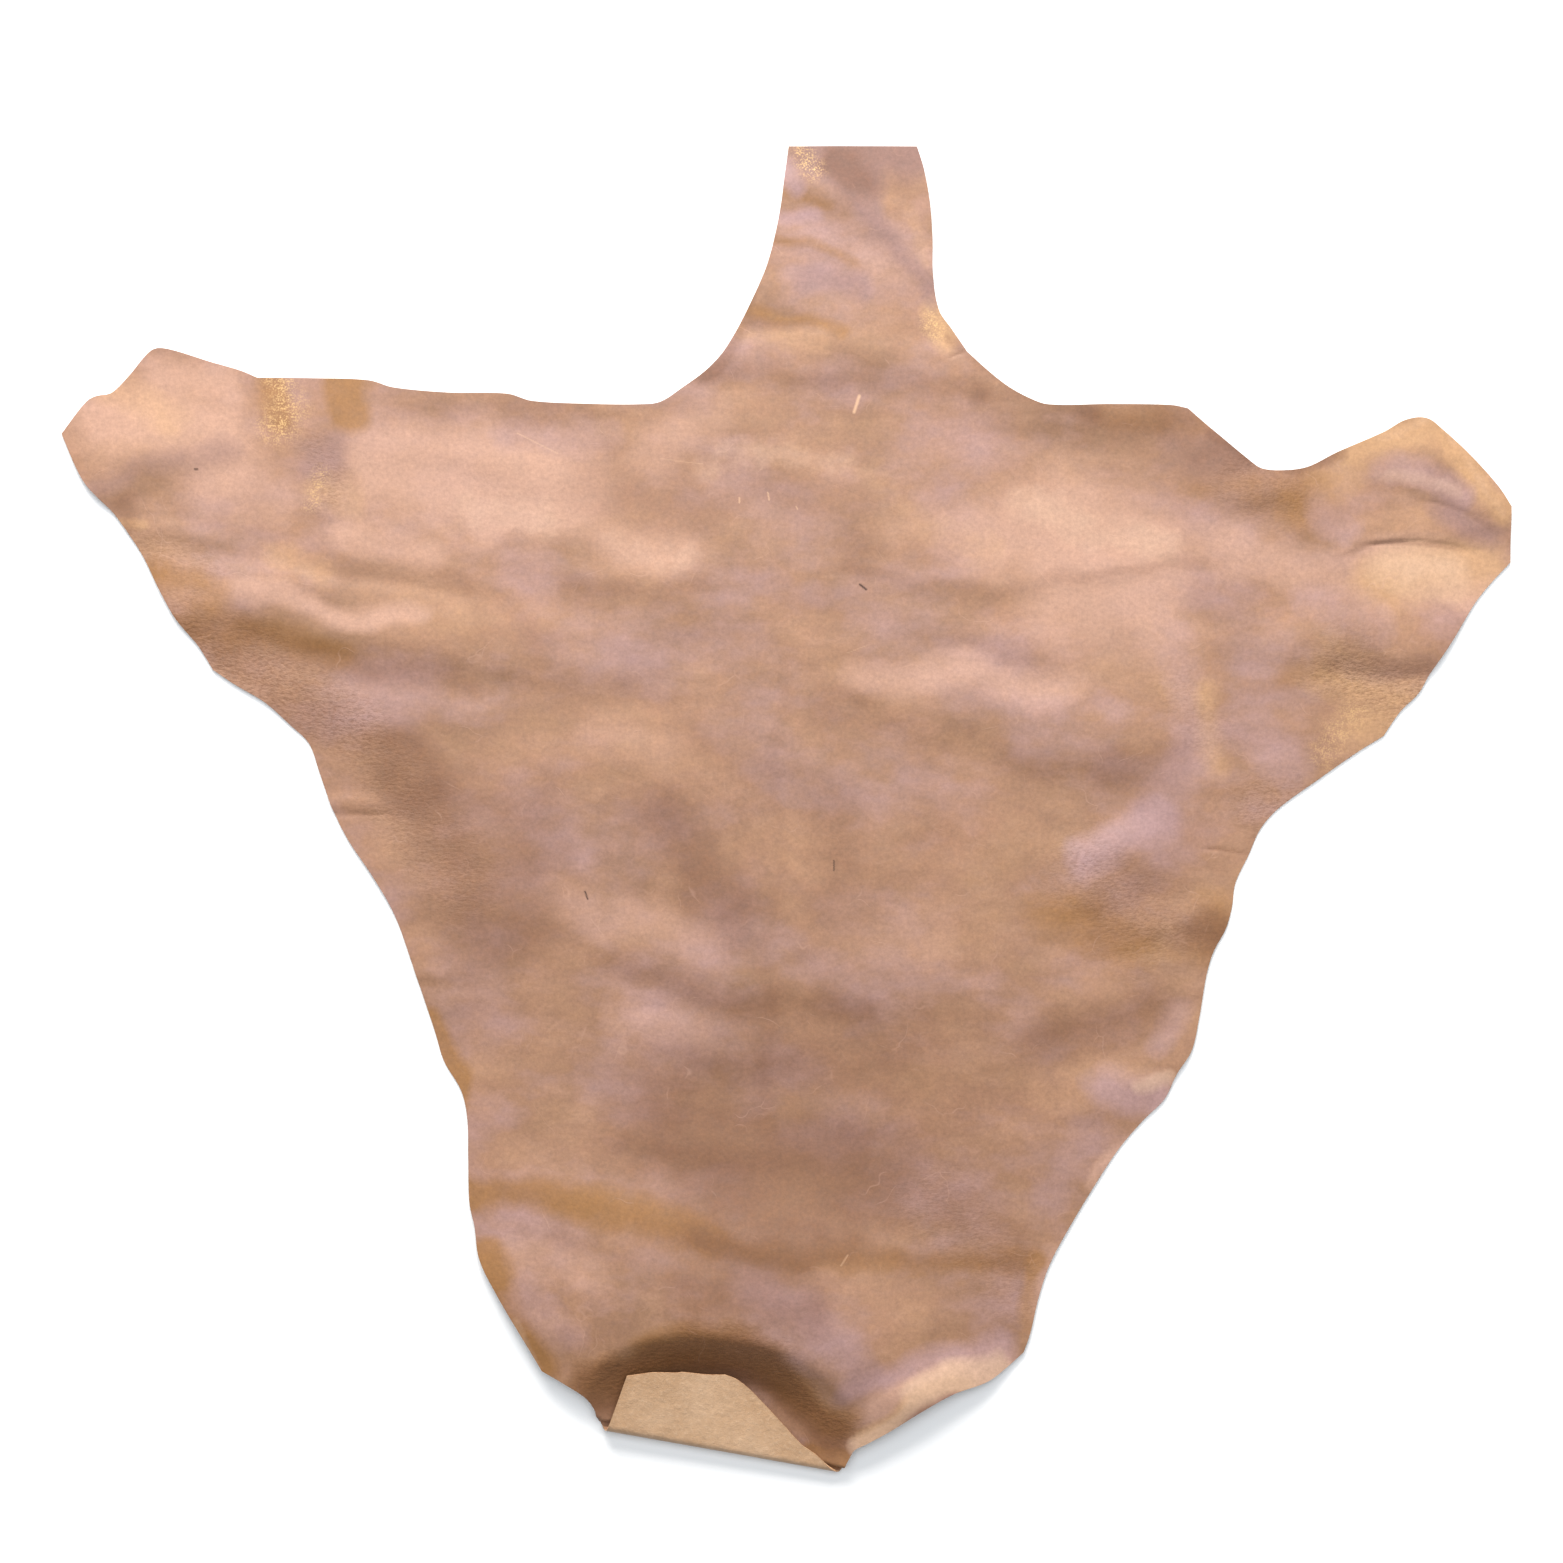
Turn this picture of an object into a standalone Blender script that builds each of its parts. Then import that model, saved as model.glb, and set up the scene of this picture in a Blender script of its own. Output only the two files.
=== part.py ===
"""A whole tanned leather hide lying grain side up, its blunt end turned over to show the flesh side.

One sheet, cut to its outline, waved where it lies unevenly, and bent back over itself at the fold.
Run with: blender --background --python part.py
Units are metres. X runs across the legs, Y from the blunt end to the neck, Z up; the hide rests on Z = 0.
"""

import math

import bmesh
import bpy
from mathutils import Vector
from mathutils.geometry import interpolate_bezier

MM = 0.001

# Driving dimensions
THICKNESS = 1.3 * MM
GRID_STEP = 19.0 * MM  # mesh spacing over the open hide
TIP_STEP = 9.5 * MM  # mesh spacing round the turned-over end
EDGE_STEP = 13.0 * MM  # spacing of points along the cut edge
SNAP = 2.2 * MM  # a mesh line this near a point runs through it

# The fold: a straight line that the sheet is bent back along, seen from above.
FOLD_LEFT = Vector((-140.0, -478.0)) * MM
FOLD_RIGHT = Vector((39.0, -510.5)) * MM
BEND_RADIUS_LEFT = 7.2 * MM  # of the flesh side, round the outside of the bend
BEND_RADIUS_RIGHT = 5.2 * MM
BEND_STEPS = 8
FLAP_RISE = 0.075  # slope of the turned-over end, rising from the bend

# The dish: the hide is pushed up in an arch round the turned-over end.
DISH_MIDDLE = 86.5 * MM  # along the fold
DISH_HALF_WIDTH = 114.0 * MM
DISH_DEPTH = 95.0 * MM
DISH_POWER = 2.5
DISH_FLOOR = 0.50  # share of the dish that lies flat
CREST_HEIGHT = 22.0 * MM  # opposite the fold
CREST_HEIGHT_ENDS = 12.0 * MM  # beside the fold
CREST_SPREAD = 2.1  # how far the arch runs out, in dish sizes
CREST_SPREAD_ENDS = 0.6

# The cut edge, clockwise from the neck's left corner, in millimetres. Edges meet at corners, smooth between.
EDGES = {
    "neck end": [(2, 511), (101, 511)],
    "neck, right side": [
        (101, 511), (106, 495), (111, 468), (113, 440), (113, 415), (118, 385), (128, 370), (140, 352),
    ],
    "right shoulder": [
        (140, 352), (155, 338), (170, 326), (186, 317), (202, 311.5), (250, 311.5), (296, 310.5),
        (309, 308),
    ],
    "right arm pit": [
        (309, 308), (330, 290), (356, 269), (367, 262), (385, 261), (403, 264), (425, 275), (462, 291),
        (478, 300), (494, 301.5), (506, 293), (530, 270), (549, 248), (559, 233),
    ],
    "right leg end": [(559, 233), (559, 190)],
    "right leg, lower side": [
        (559, 190), (544, 174), (532, 159), (514, 130), (497, 105), (488, 89), (474, 75), (461, 56),
    ],
    "right flank": [
        (461, 56), (440, 43), (410, 22), (380, 0), (366, -16), (357, -36), (347, -57), (344, -76),
        (339, -93), (329, -112), (324, -130), (319, -160), (313, -186), (301, -205), (292, -224),
        (276, -240), (258, -261), (241, -286), (218, -324), (204, -350), (195, -376), (188, -405),
        (183, -419),
    ],
    "blunt end, right": [
        (183, -419), (170, -430), (155, -440), (128, -448), (103, -461), (78, -477), (61, -486.5),
        (53, -491), (49, -498), (46, -504),
    ],
    "blunt end, left": [(-145, -470), (-148, -460), (-155, -450), (-171, -439.5), (-187, -431)],
    "left flank": [
        (-187, -431), (-203, -404), (-222, -373), (-236, -346), (-240, -322), (-244, -304),
        (-245, -270), (-246, -238), (-251, -217), (-264, -195), (-271, -172), (-288, -121), (-303, -80),
        (-319, -52), (-338, -24), (-350, 0), (-360, 28), (-368, 50), (-382, 64), (-402, 82), (-424, 95),
        (-442, 107),
    ],
    "left leg, lower side": [
        (-442, 107), (-453, 125), (-470, 146), (-480, 163), (-498, 198), (-518, 227), (-541, 252),
        (-559, 289),
    ],
    "left leg end": [
        (-559, 289), (-540, 314), (-532, 318.5), (-521, 320.5), (-508, 333), (-492, 352), (-485, 355.5),
        (-472, 353.5), (-445, 345), (-421, 338), (-408, 332.5),
    ],
    "left shoulder": [
        (-408, 332.5), (-365, 332), (-322, 330.5), (-303, 325), (-262, 321), (-215, 320), (-196, 314.5),
        (-150, 312), (-112, 312), (-97, 314), (-80, 325), (-60, 340), (-46, 356), (-26, 393),
        (-14, 422), (-5, 460), (2, 511),
    ],
}

# The end that is turned over, in millimetres: along the fold, and beyond it in the flat cut.
TIP_EDGES = {
    "right": [
        (188, -8), (183, 3), (172, 12), (163, 18), (151, 24), (137, 35), (119, 49), (104, 60), (93, 66),
        (84, 68),
    ],
    "end": [(84, 68), (69, 66), (51, 65), (48, 64), (29, 61), (10, 55)],
    "left": [(10, 55), (3, 13), (0, 3), (-6, -7)],
}

# Low ridges that the hide lies in: the crest's points, the height there, the width on its neck side and on
# its blunt-end side, and the share of its length it rises over at its start and falls over at its end.
# All in millimetres but the shares.
RIDGES = [
    # name, crest, height, neck_side, blunt_side, rising, falling
    ("left leg, lower", [(-505, 158), (-350, 148), (-190, 118), (10, 86)], 4.4, 46, 32, 0.1, 0.8),
    ("left leg, upper", [(-585, 242), (-530, 254), (-470, 278), (-390, 312)], 3.8, 56, 32, 0.25, 0.4),
    ("left leg, below", [(-460, 98), (-320, 84), (-170, 60)], 1.6, 24, 40, 0.25, 0.5),
    ("left shoulder edge", [(-340, 334), (-260, 324), (-180, 316), (-100, 314)], 2.2, 20, 26, 0.3, 0.3),
    ("right leg, upper", [(440, 262), (490, 262), (530, 248), (575, 214)], 3.4, 36, 26, 0.4, 0.3),
    ("right leg, sharp", [(405, 190), (445, 206), (490, 209), (545, 202)], 2.0, 24, 14, 0.35, 0.3),
    ("right leg, lower", [(335, 92), (375, 112), (425, 128), (540, 118)], 4.0, 46, 28, 0.5, 0.25),
    ("right shoulder edge", [(120, 352), (240, 318), (310, 306), (410, 262)], 5.6, 30, 50, 0.3, 0.3),
    ("neck root", [(-80, 342), (0, 352), (120, 342), (190, 326)], 1.8, 24, 24, 0.2, 0.3),
    ("neck fold", [(-38, 400), (-5, 394), (40, 382), (110, 374)], 1.4, 20, 20, 0.15, 0.5),
    ("neck, diagonal", [(52, 464), (84, 440), (118, 400)], 2.0, 24, 22, 0.3, 0.3),
    ("back, upper", [(10, 186), (90, 179), (220, 178), (350, 199)], 1.2, 30, 18, 0.3, 0.3),
    ("back, middle", [(0, 102), (70, 95), (130, 80), (270, 54), (345, 58)], 3.0, 46, 40, 0.3, 0.35),
    ("back, hollow's rim", [(-150, -60), (-120, -100), (-20, -118), (20, -90)], 1.2, 40, 34, 0.3, 0.4),
    ("back, left", [(-240, 34), (-170, 30), (-110, 24), (-50, 0)], 1.8, 44, 50, 0.4, 0.4),
    ("back, lower left", [(-190, -96), (-70, -124), (80, -144), (190, -142)], 1.0, 28, 26, 0.25, 0.5),
    ("right flank, upper", [(190, -62), (230, -42), (280, -20), (325, -8)], 3.2, 24, 46, 0.3, 0.5),
    ("right flank, middle", [(250, -92), (300, -84), (350, -76)], 2.4, 20, 24, 0.4, 0.2),
    ("right flank, lower", [(180, -160), (230, -146), (290, -126), (340, -108)], 2.4, 26, 34, 0.3, 0.3),
    ("right flank, last", [(190, -240), (240, -222), (290, -202), (335, -190)], 2.0, 30, 24, 0.4, 0.2),
    ("left flank crease", [(-375, 0), (-340, 1), (-290, 3)], 1.6, 16, 16, 0.15, 0.6),
    ("across the blunt end", [(-270, -276), (-110, -306), (50, -336), (215, -342)], 1.1, 36, 22, 0.15, 0.3),
    ("blunt end, left edge", [(-250, -324), (-228, -362), (-202, -402), (-178, -434)], 2.8, 40, 20, 0.3, 0.3),
    ("blunt end, right edge", [(60, -486), (100, -466), (140, -450), (186, -424)], 6.0, 46, 20, 0.3, 0.4),
]

GRAIN_COLOUR = (0.50, 0.30, 0.20, 1.0)
FLESH_COLOUR = (0.58, 0.40, 0.26, 1.0)

FOLD_ALONG = (FOLD_RIGHT - FOLD_LEFT).normalized()
FOLD_OUT = Vector((FOLD_ALONG.y, -FOLD_ALONG.x))  # away from the hide
FOLD_LENGTH = (FOLD_RIGHT - FOLD_LEFT).length


def clear_scene():
    for obj in list(bpy.data.objects):
        bpy.data.objects.remove(obj, do_unlink=True)


def smooth_step(value):
    """0 below 0, 1 above 1, and level at both."""
    value = min(max(value, 0.0), 1.0)
    return value * value * (3.0 - 2.0 * value)


def ramp(value, foot, top):
    """An even slope from 0 to 1 with a rounded foot and a rounded top, each this share of its run."""
    value = min(max(value, 0.0), 1.0)
    area = 1.0 - (foot + top) / 2.0
    if value < foot:
        return foot * smooth_sum(value / foot) / area
    if value > 1.0 - top:
        return 1.0 - top * smooth_sum((1.0 - value) / top) / area
    return (foot / 2.0 + value - foot) / area


def smooth_sum(value):
    """The area under smooth_step up to a value between 0 and 1."""
    return value**3 - value**4 / 2.0


def to_fold(point):
    """How far a point lies along the fold from its left end, and beyond it."""
    offset = point - FOLD_LEFT
    return offset.dot(FOLD_ALONG), offset.dot(FOLD_OUT)


def from_fold(along, out):
    return FOLD_LEFT + FOLD_ALONG * along + FOLD_OUT * out


def bend_radius(along):
    share = min(max(along / FOLD_LENGTH, 0.0), 1.0)
    return BEND_RADIUS_LEFT + (BEND_RADIUS_RIGHT - BEND_RADIUS_LEFT) * share


def smooth_edge(points):
    """Points about EDGE_STEP apart on the smooth curve through the given ones, without the last."""
    found = []
    last = len(points) - 1
    for i in range(last):
        start, end = points[i], points[i + 1]
        before = points[max(i - 1, 0)]
        after = points[min(i + 2, last)]
        chord = (end - start).length
        leave = (end - before).normalized() * chord / 3.0
        arrive = (after - start).normalized() * chord / 3.0
        steps = max(1, round(chord / EDGE_STEP))
        found += interpolate_bezier(start, start + leave, end - arrive, end, steps + 1)[:-1]
    return [Vector((point[0], point[1])) for point in found]


def flat_outline():
    """The hide's outline as cut, before its end is turned over."""
    outline = []
    for name, points in EDGES.items():
        outline += smooth_edge([Vector((x, y, 0.0)) * MM for x, y in points])
        if name == "blunt end, right":
            outline.append(Vector(points[-1]) * MM)
            for tip in TIP_EDGES.values():
                outline += smooth_edge([from_fold(a * MM, b * MM).to_3d() for a, b in tip])
            outline.append(from_fold(*(v * MM for v in TIP_EDGES["left"][-1])))
    return outline


def ridge_height(point, crest, height, neck_side, blunt_side, rising, falling):
    """Height of one ridge at a point: highest on its crest, falling away to its sides and ends."""
    corners = [Vector(corner) * MM for corner in crest]
    spans = [b - a for a, b in zip(corners, corners[1:])]
    whole = sum(span.length for span in spans)
    nearest, across, share, before = math.inf, 0.0, 0.0, 0.0
    for corner, span in zip(corners, spans):
        offset = point - corner
        along = min(max(offset.dot(span) / span.length_squared, 0.0), 1.0)
        gap = (offset - span * along).length
        if gap < nearest:
            nearest = gap
            across = math.copysign(gap, span.cross(offset))
            share = (before + span.length * along) / whole
        before += span.length
    width = (neck_side if across > 0.0 else blunt_side) * MM
    side = 1.0 - min(abs(across) / width, 1.0) ** 2
    return height * MM * side * side * smooth_step(share / rising) * smooth_step((1.0 - share) / falling)


def dish_height(along, out):
    """Height of the arch round the turned-over end, and of the slope down into it."""
    side = abs(along - DISH_MIDDLE) / DISH_HALF_WIDTH
    depth = max(-out, 0.0) / DISH_DEPTH
    size = (side**DISH_POWER + depth**DISH_POWER) ** (1.0 / DISH_POWER)
    opposite = smooth_step(depth / max(size, 1e-6) * 1.1)
    crest = CREST_HEIGHT_ENDS + (CREST_HEIGHT - CREST_HEIGHT_ENDS) * opposite
    spread = CREST_SPREAD_ENDS + (CREST_SPREAD - CREST_SPREAD_ENDS) * opposite
    if size < 1.0:
        return crest * ramp((size - DISH_FLOOR) / (1.0 - DISH_FLOOR), 0.30, 0.16)
    return crest * (1.0 - ramp((size - 1.0) / spread, 0.25, 0.6))


def relief(point):
    along, out = to_fold(point)
    ridges = sum(ridge_height(point, *row[1:]) for row in RIDGES)
    near_fold = smooth_step((-out - 20.0 * MM) / (60.0 * MM))
    return ridges * near_fold + dish_height(along, out)


def laid(point):
    """Where a point of the flat cut comes to lie: the flesh side's height, and the bend over the fold."""
    along, out = to_fold(point)
    on_tip = -20.0 * MM < along < FOLD_LENGTH + 20.0 * MM
    radius = bend_radius(along)
    past = out + radius
    if past <= 0.0 or not on_tip:
        return Vector((point.x, point.y, relief(point)))
    if past < math.pi * radius:
        turn = past / radius
        back = radius * math.sin(turn) - radius
        height = radius * (1.0 - math.cos(turn))
    else:
        run = past - math.pi * radius
        back = -radius - run * math.cos(FLAP_RISE)
        height = 2.0 * radius + run * math.sin(FLAP_RISE)
    place = from_fold(along, back)
    return Vector((place.x, place.y, height))


def cut_lines(bm, faces, direction, places):
    """Cuts these faces along the lines across a direction of the fold's frame, at each place."""
    for place in places:
        geometry = list(faces) + [e for f in faces for e in f.edges] + [v for f in faces for v in f.verts]
        found = bmesh.ops.bisect_plane(
            bm,
            geom=list(dict.fromkeys(geometry)),
            dist=SNAP,
            plane_co=(FOLD_LEFT + direction * place).to_3d(),
            plane_no=direction.to_3d(),
        )
        faces = [part for part in found["geom"] if isinstance(part, bmesh.types.BMFace)]
    return faces


def spaced(low, high, step):
    count = max(1, math.ceil((high - low) / step))
    return [low + (high - low) * i / count for i in range(1, count)]


def near_tip(face):
    along, out = to_fold(face.calc_center_median().to_2d())
    return -60.0 * MM < along < FOLD_LENGTH + 30.0 * MM and out > -DISH_DEPTH - 20.0 * MM


def sheet_mesh():
    """The flat cut as one face, cut into a mesh along the fold's own directions, then laid."""
    bm = bmesh.new()
    outline = flat_outline()
    bm.faces.new([bm.verts.new(point.to_3d()) for point in reversed(outline)])
    places = [to_fold(point) for point in outline]
    low_along, high_along = min(a for a, _ in places), max(a for a, _ in places)
    low_out, high_out = min(b for _, b in places), max(b for _, b in places)
    bend = math.pi * BEND_RADIUS_LEFT
    bend_lines = [bend * i / BEND_STEPS - BEND_RADIUS_LEFT for i in range(BEND_STEPS + 1)]
    faces = cut_lines(bm, bm.faces[:], FOLD_OUT, spaced(low_out, bend_lines[0], GRID_STEP))
    faces = cut_lines(bm, faces, FOLD_ALONG, spaced(low_along, high_along, GRID_STEP))
    tip = [face for face in faces if near_tip(face)]
    inner = spaced(-DISH_DEPTH - 24.0 * MM, bend_lines[0], TIP_STEP)
    outer = spaced(bend_lines[-1], high_out, TIP_STEP)
    tip = cut_lines(bm, tip, FOLD_OUT, inner + bend_lines + outer)
    cut_lines(bm, tip, FOLD_ALONG, spaced(-60.0 * MM, FOLD_LENGTH + 30.0 * MM, TIP_STEP))
    for vert in bm.verts:
        vert.co = laid(vert.co.to_2d())
    bmesh.ops.triangulate(bm, faces=[face for face in bm.faces if len(face.verts) > 4])
    for face in bm.faces:
        face.smooth = True
    mesh = bpy.data.meshes.new("leather_hide")
    bm.to_mesh(mesh)
    bm.free()
    return mesh


def leather_material(name, colour, roughness):
    material = bpy.data.materials.new(name)
    material.use_nodes = True
    shader = material.node_tree.nodes["Principled BSDF"]
    shader.inputs["Base Color"].default_value = colour
    shader.inputs["Roughness"].default_value = roughness
    shader.inputs["Metallic"].default_value = 0.0
    return material


def build_hide(collection):
    hide = bpy.data.objects.new("leather_hide", sheet_mesh())
    collection.objects.link(hide)
    hide.data.materials.append(leather_material("grain side", GRAIN_COLOUR, 0.45))
    hide.data.materials.append(leather_material("flesh side", FLESH_COLOUR, 0.85))
    solidify = hide.modifiers.new("thickness", "SOLIDIFY")
    solidify.thickness = THICKNESS
    solidify.offset = 1.0
    solidify.material_offset = 1
    solidify.material_offset_rim = 1
    return hide


def main():
    clear_scene()
    collection = bpy.data.collections.new("leather hide")
    bpy.context.scene.collection.children.link(collection)
    build_hide(collection)


main()
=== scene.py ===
import math

import bmesh
import bpy
import numpy as np
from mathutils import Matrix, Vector, kdtree, noise
from mathutils.geometry import delaunay_2d_cdt, interpolate_bezier


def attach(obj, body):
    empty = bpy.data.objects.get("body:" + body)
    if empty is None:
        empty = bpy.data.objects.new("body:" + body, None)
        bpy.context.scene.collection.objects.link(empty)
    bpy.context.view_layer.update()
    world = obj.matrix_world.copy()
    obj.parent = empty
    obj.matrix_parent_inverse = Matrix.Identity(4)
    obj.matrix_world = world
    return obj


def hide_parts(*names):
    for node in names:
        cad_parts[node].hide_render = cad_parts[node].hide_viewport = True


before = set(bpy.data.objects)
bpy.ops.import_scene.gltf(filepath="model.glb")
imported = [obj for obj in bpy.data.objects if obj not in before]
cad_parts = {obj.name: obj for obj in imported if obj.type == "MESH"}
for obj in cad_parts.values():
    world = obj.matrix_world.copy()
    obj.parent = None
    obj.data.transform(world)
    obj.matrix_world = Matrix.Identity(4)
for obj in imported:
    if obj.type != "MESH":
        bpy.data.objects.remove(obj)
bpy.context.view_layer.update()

# Everything is in metres; the tables are in millimetres and are scaled by mm where they are used.
# X runs across the legs, Y from the blunt end to the neck, and the hide lies on Z = 0, grain side up.
mm = 0.001

sheet = {
    "flat": (1.12, 1.07),  # the flat cut, across and along
    "thickness": 1.3 * mm,
    "spacing": 4.1 * mm,  # between mesh points over the open hide
    "foldSpacing": 2.0 * mm,  # and round the fold
    "edgeSpacing": 3.2 * mm,  # and along the cut edge
    "markSpacing": 1.1 * mm,  # and round scratches
    "creaseSpacing": 1.7 * mm,  # and round sharp creases
    "markReach": 3.5 * mm,  # how far from a scratch the close points go
    "creaseReach": 6 * mm,  # and from a sharp crease
    "creaseBox": 8 * mm,  # round the crease, where they are tried
    "lineSpacing": 12 * mm,  # between points along a ridge or a crease
    "clearance": 0.6,  # of the spacing, kept free where close and wide points meet
}

# the straight line that the blunt end is turned back over, and the bend there
fold = {
    "left": Vector((-140.0, -478.0)) * mm,
    "right": Vector((39.0, -510.5)) * mm,
    "radiusLeft": 7.2 * mm,  # of the flesh side, which is outside in the bend
    "radiusRight": 5.2 * mm,
    "flapRise": 0.075,  # slope of the turned-over end
    "flapWave": 0.9 * mm,  # and how far it waves
    "waveLength": 23 * mm,
    "waveGrows": 45 * mm,  # from the bend to where it waves fully
    "past": 20 * mm,  # how far beyond its ends the bend still turns points
    "stripBefore": 10 * mm,  # how far the close points go: before its start, past its end, in and out
    "stripPast": 14 * mm,
    "stripIn": 18 * mm,
    "stripOut": 20 * mm,
    "calmFrom": 20 * mm,  # the low folds fade out towards the bend
    "calmOver": 60 * mm,
}

# the hollow under the turned-over end, and the arch of leather pushed up round it
dish = {
    "middle": 86.5 * mm,  # along the fold
    "halfWidth": 114.0 * mm,
    "depth": 95.0 * mm,
    "power": 2.5,
    "floor": 0.50,  # share of the way out that lies flat
    "crest": 22.0 * mm,
    "crestEnds": 12.0 * mm,
    "spread": 2.1,
    "spreadEnds": 0.6,
    "innerRamp": (0.30, 0.16),  # how rounded its foot and its top are
    "outerRamp": (0.25, 0.6),
    "closes": 1.1,  # how soon the arch is full behind the turned-over end
}

# The cut edge, clockwise from the neck's left corner. Edges meet at corners and are smooth between.
edges = {
    "neck end": [(2, 511), (101, 511)],
    "neck, right side": [
        (101, 511), (106, 495), (111, 468), (113, 440), (113, 415), (118, 385), (128, 370), (140, 352),
    ],
    "right shoulder": [
        (140, 352), (155, 338), (170, 326), (186, 317), (202, 311.5), (250, 311.5), (296, 310.5), (309, 308),
    ],
    "right arm pit": [
        (309, 308), (330, 290), (356, 269), (367, 262), (385, 261), (403, 264), (425, 275), (462, 291),
        (478, 300), (494, 301.5), (506, 293), (530, 270), (549, 248), (559, 233),
    ],
    "right leg end": [(559, 233), (559, 190)],
    "right leg, lower side": [
        (559, 190), (544, 174), (532, 159), (514, 130), (497, 105), (488, 89), (474, 75), (461, 56),
    ],
    "right flank": [
        (461, 56), (440, 43), (410, 22), (380, 0), (366, -16), (357, -36), (347, -57), (344, -76),
        (339, -93), (329, -112), (324, -130), (319, -160), (313, -186), (301, -205), (292, -224),
        (276, -240), (258, -261), (241, -286), (218, -324), (204, -350), (195, -376), (188, -405),
        (183, -419),
    ],
    "blunt end, right": [
        (183, -419), (170, -430), (155, -440), (128, -448), (103, -461), (78, -477), (61, -486.5),
        (53, -491), (49, -498), (46, -504),
    ],
    "blunt end, left": [(-145, -470), (-148, -460), (-155, -450), (-171, -439.5), (-187, -431)],
    "left flank": [
        (-187, -431), (-203, -404), (-222, -373), (-236, -346), (-240, -322), (-244, -304), (-245, -270),
        (-246, -238), (-251, -217), (-264, -195), (-271, -172), (-288, -121), (-303, -80), (-319, -52),
        (-338, -24), (-350, 0), (-360, 28), (-368, 50), (-382, 64), (-402, 82), (-424, 95), (-442, 107),
    ],
    "left leg, lower side": [
        (-442, 107), (-453, 125), (-470, 146), (-480, 163), (-498, 198), (-518, 227), (-541, 252),
        (-559, 289),
    ],
    "left leg end": [
        (-559, 289), (-540, 314), (-532, 318.5), (-521, 320.5), (-508, 333), (-492, 352), (-485, 355.5),
        (-472, 353.5), (-445, 345), (-421, 338), (-408, 332.5),
    ],
    "left shoulder": [
        (-408, 332.5), (-365, 332), (-322, 330.5), (-303, 325), (-262, 321), (-215, 320), (-196, 314.5),
        (-150, 312), (-112, 312), (-97, 314), (-80, 325), (-60, 340), (-46, 356), (-26, 393), (-14, 422),
        (-5, 460), (2, 511),
    ],
}

# the end that is turned over: along the fold, and beyond it in the flat cut
tipEdges = {
    "right": [
        (188, -8), (183, 3), (172, 12), (163, 18), (151, 24), (137, 35), (119, 49), (104, 60), (93, 66),
        (84, 68),
    ],
    "end": [(84, 68), (69, 66), (51, 65), (48, 64), (29, 61), (10, 55)],
    "left": [(10, 55), (3, 13), (0, 3), (-6, -7)],
}

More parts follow.
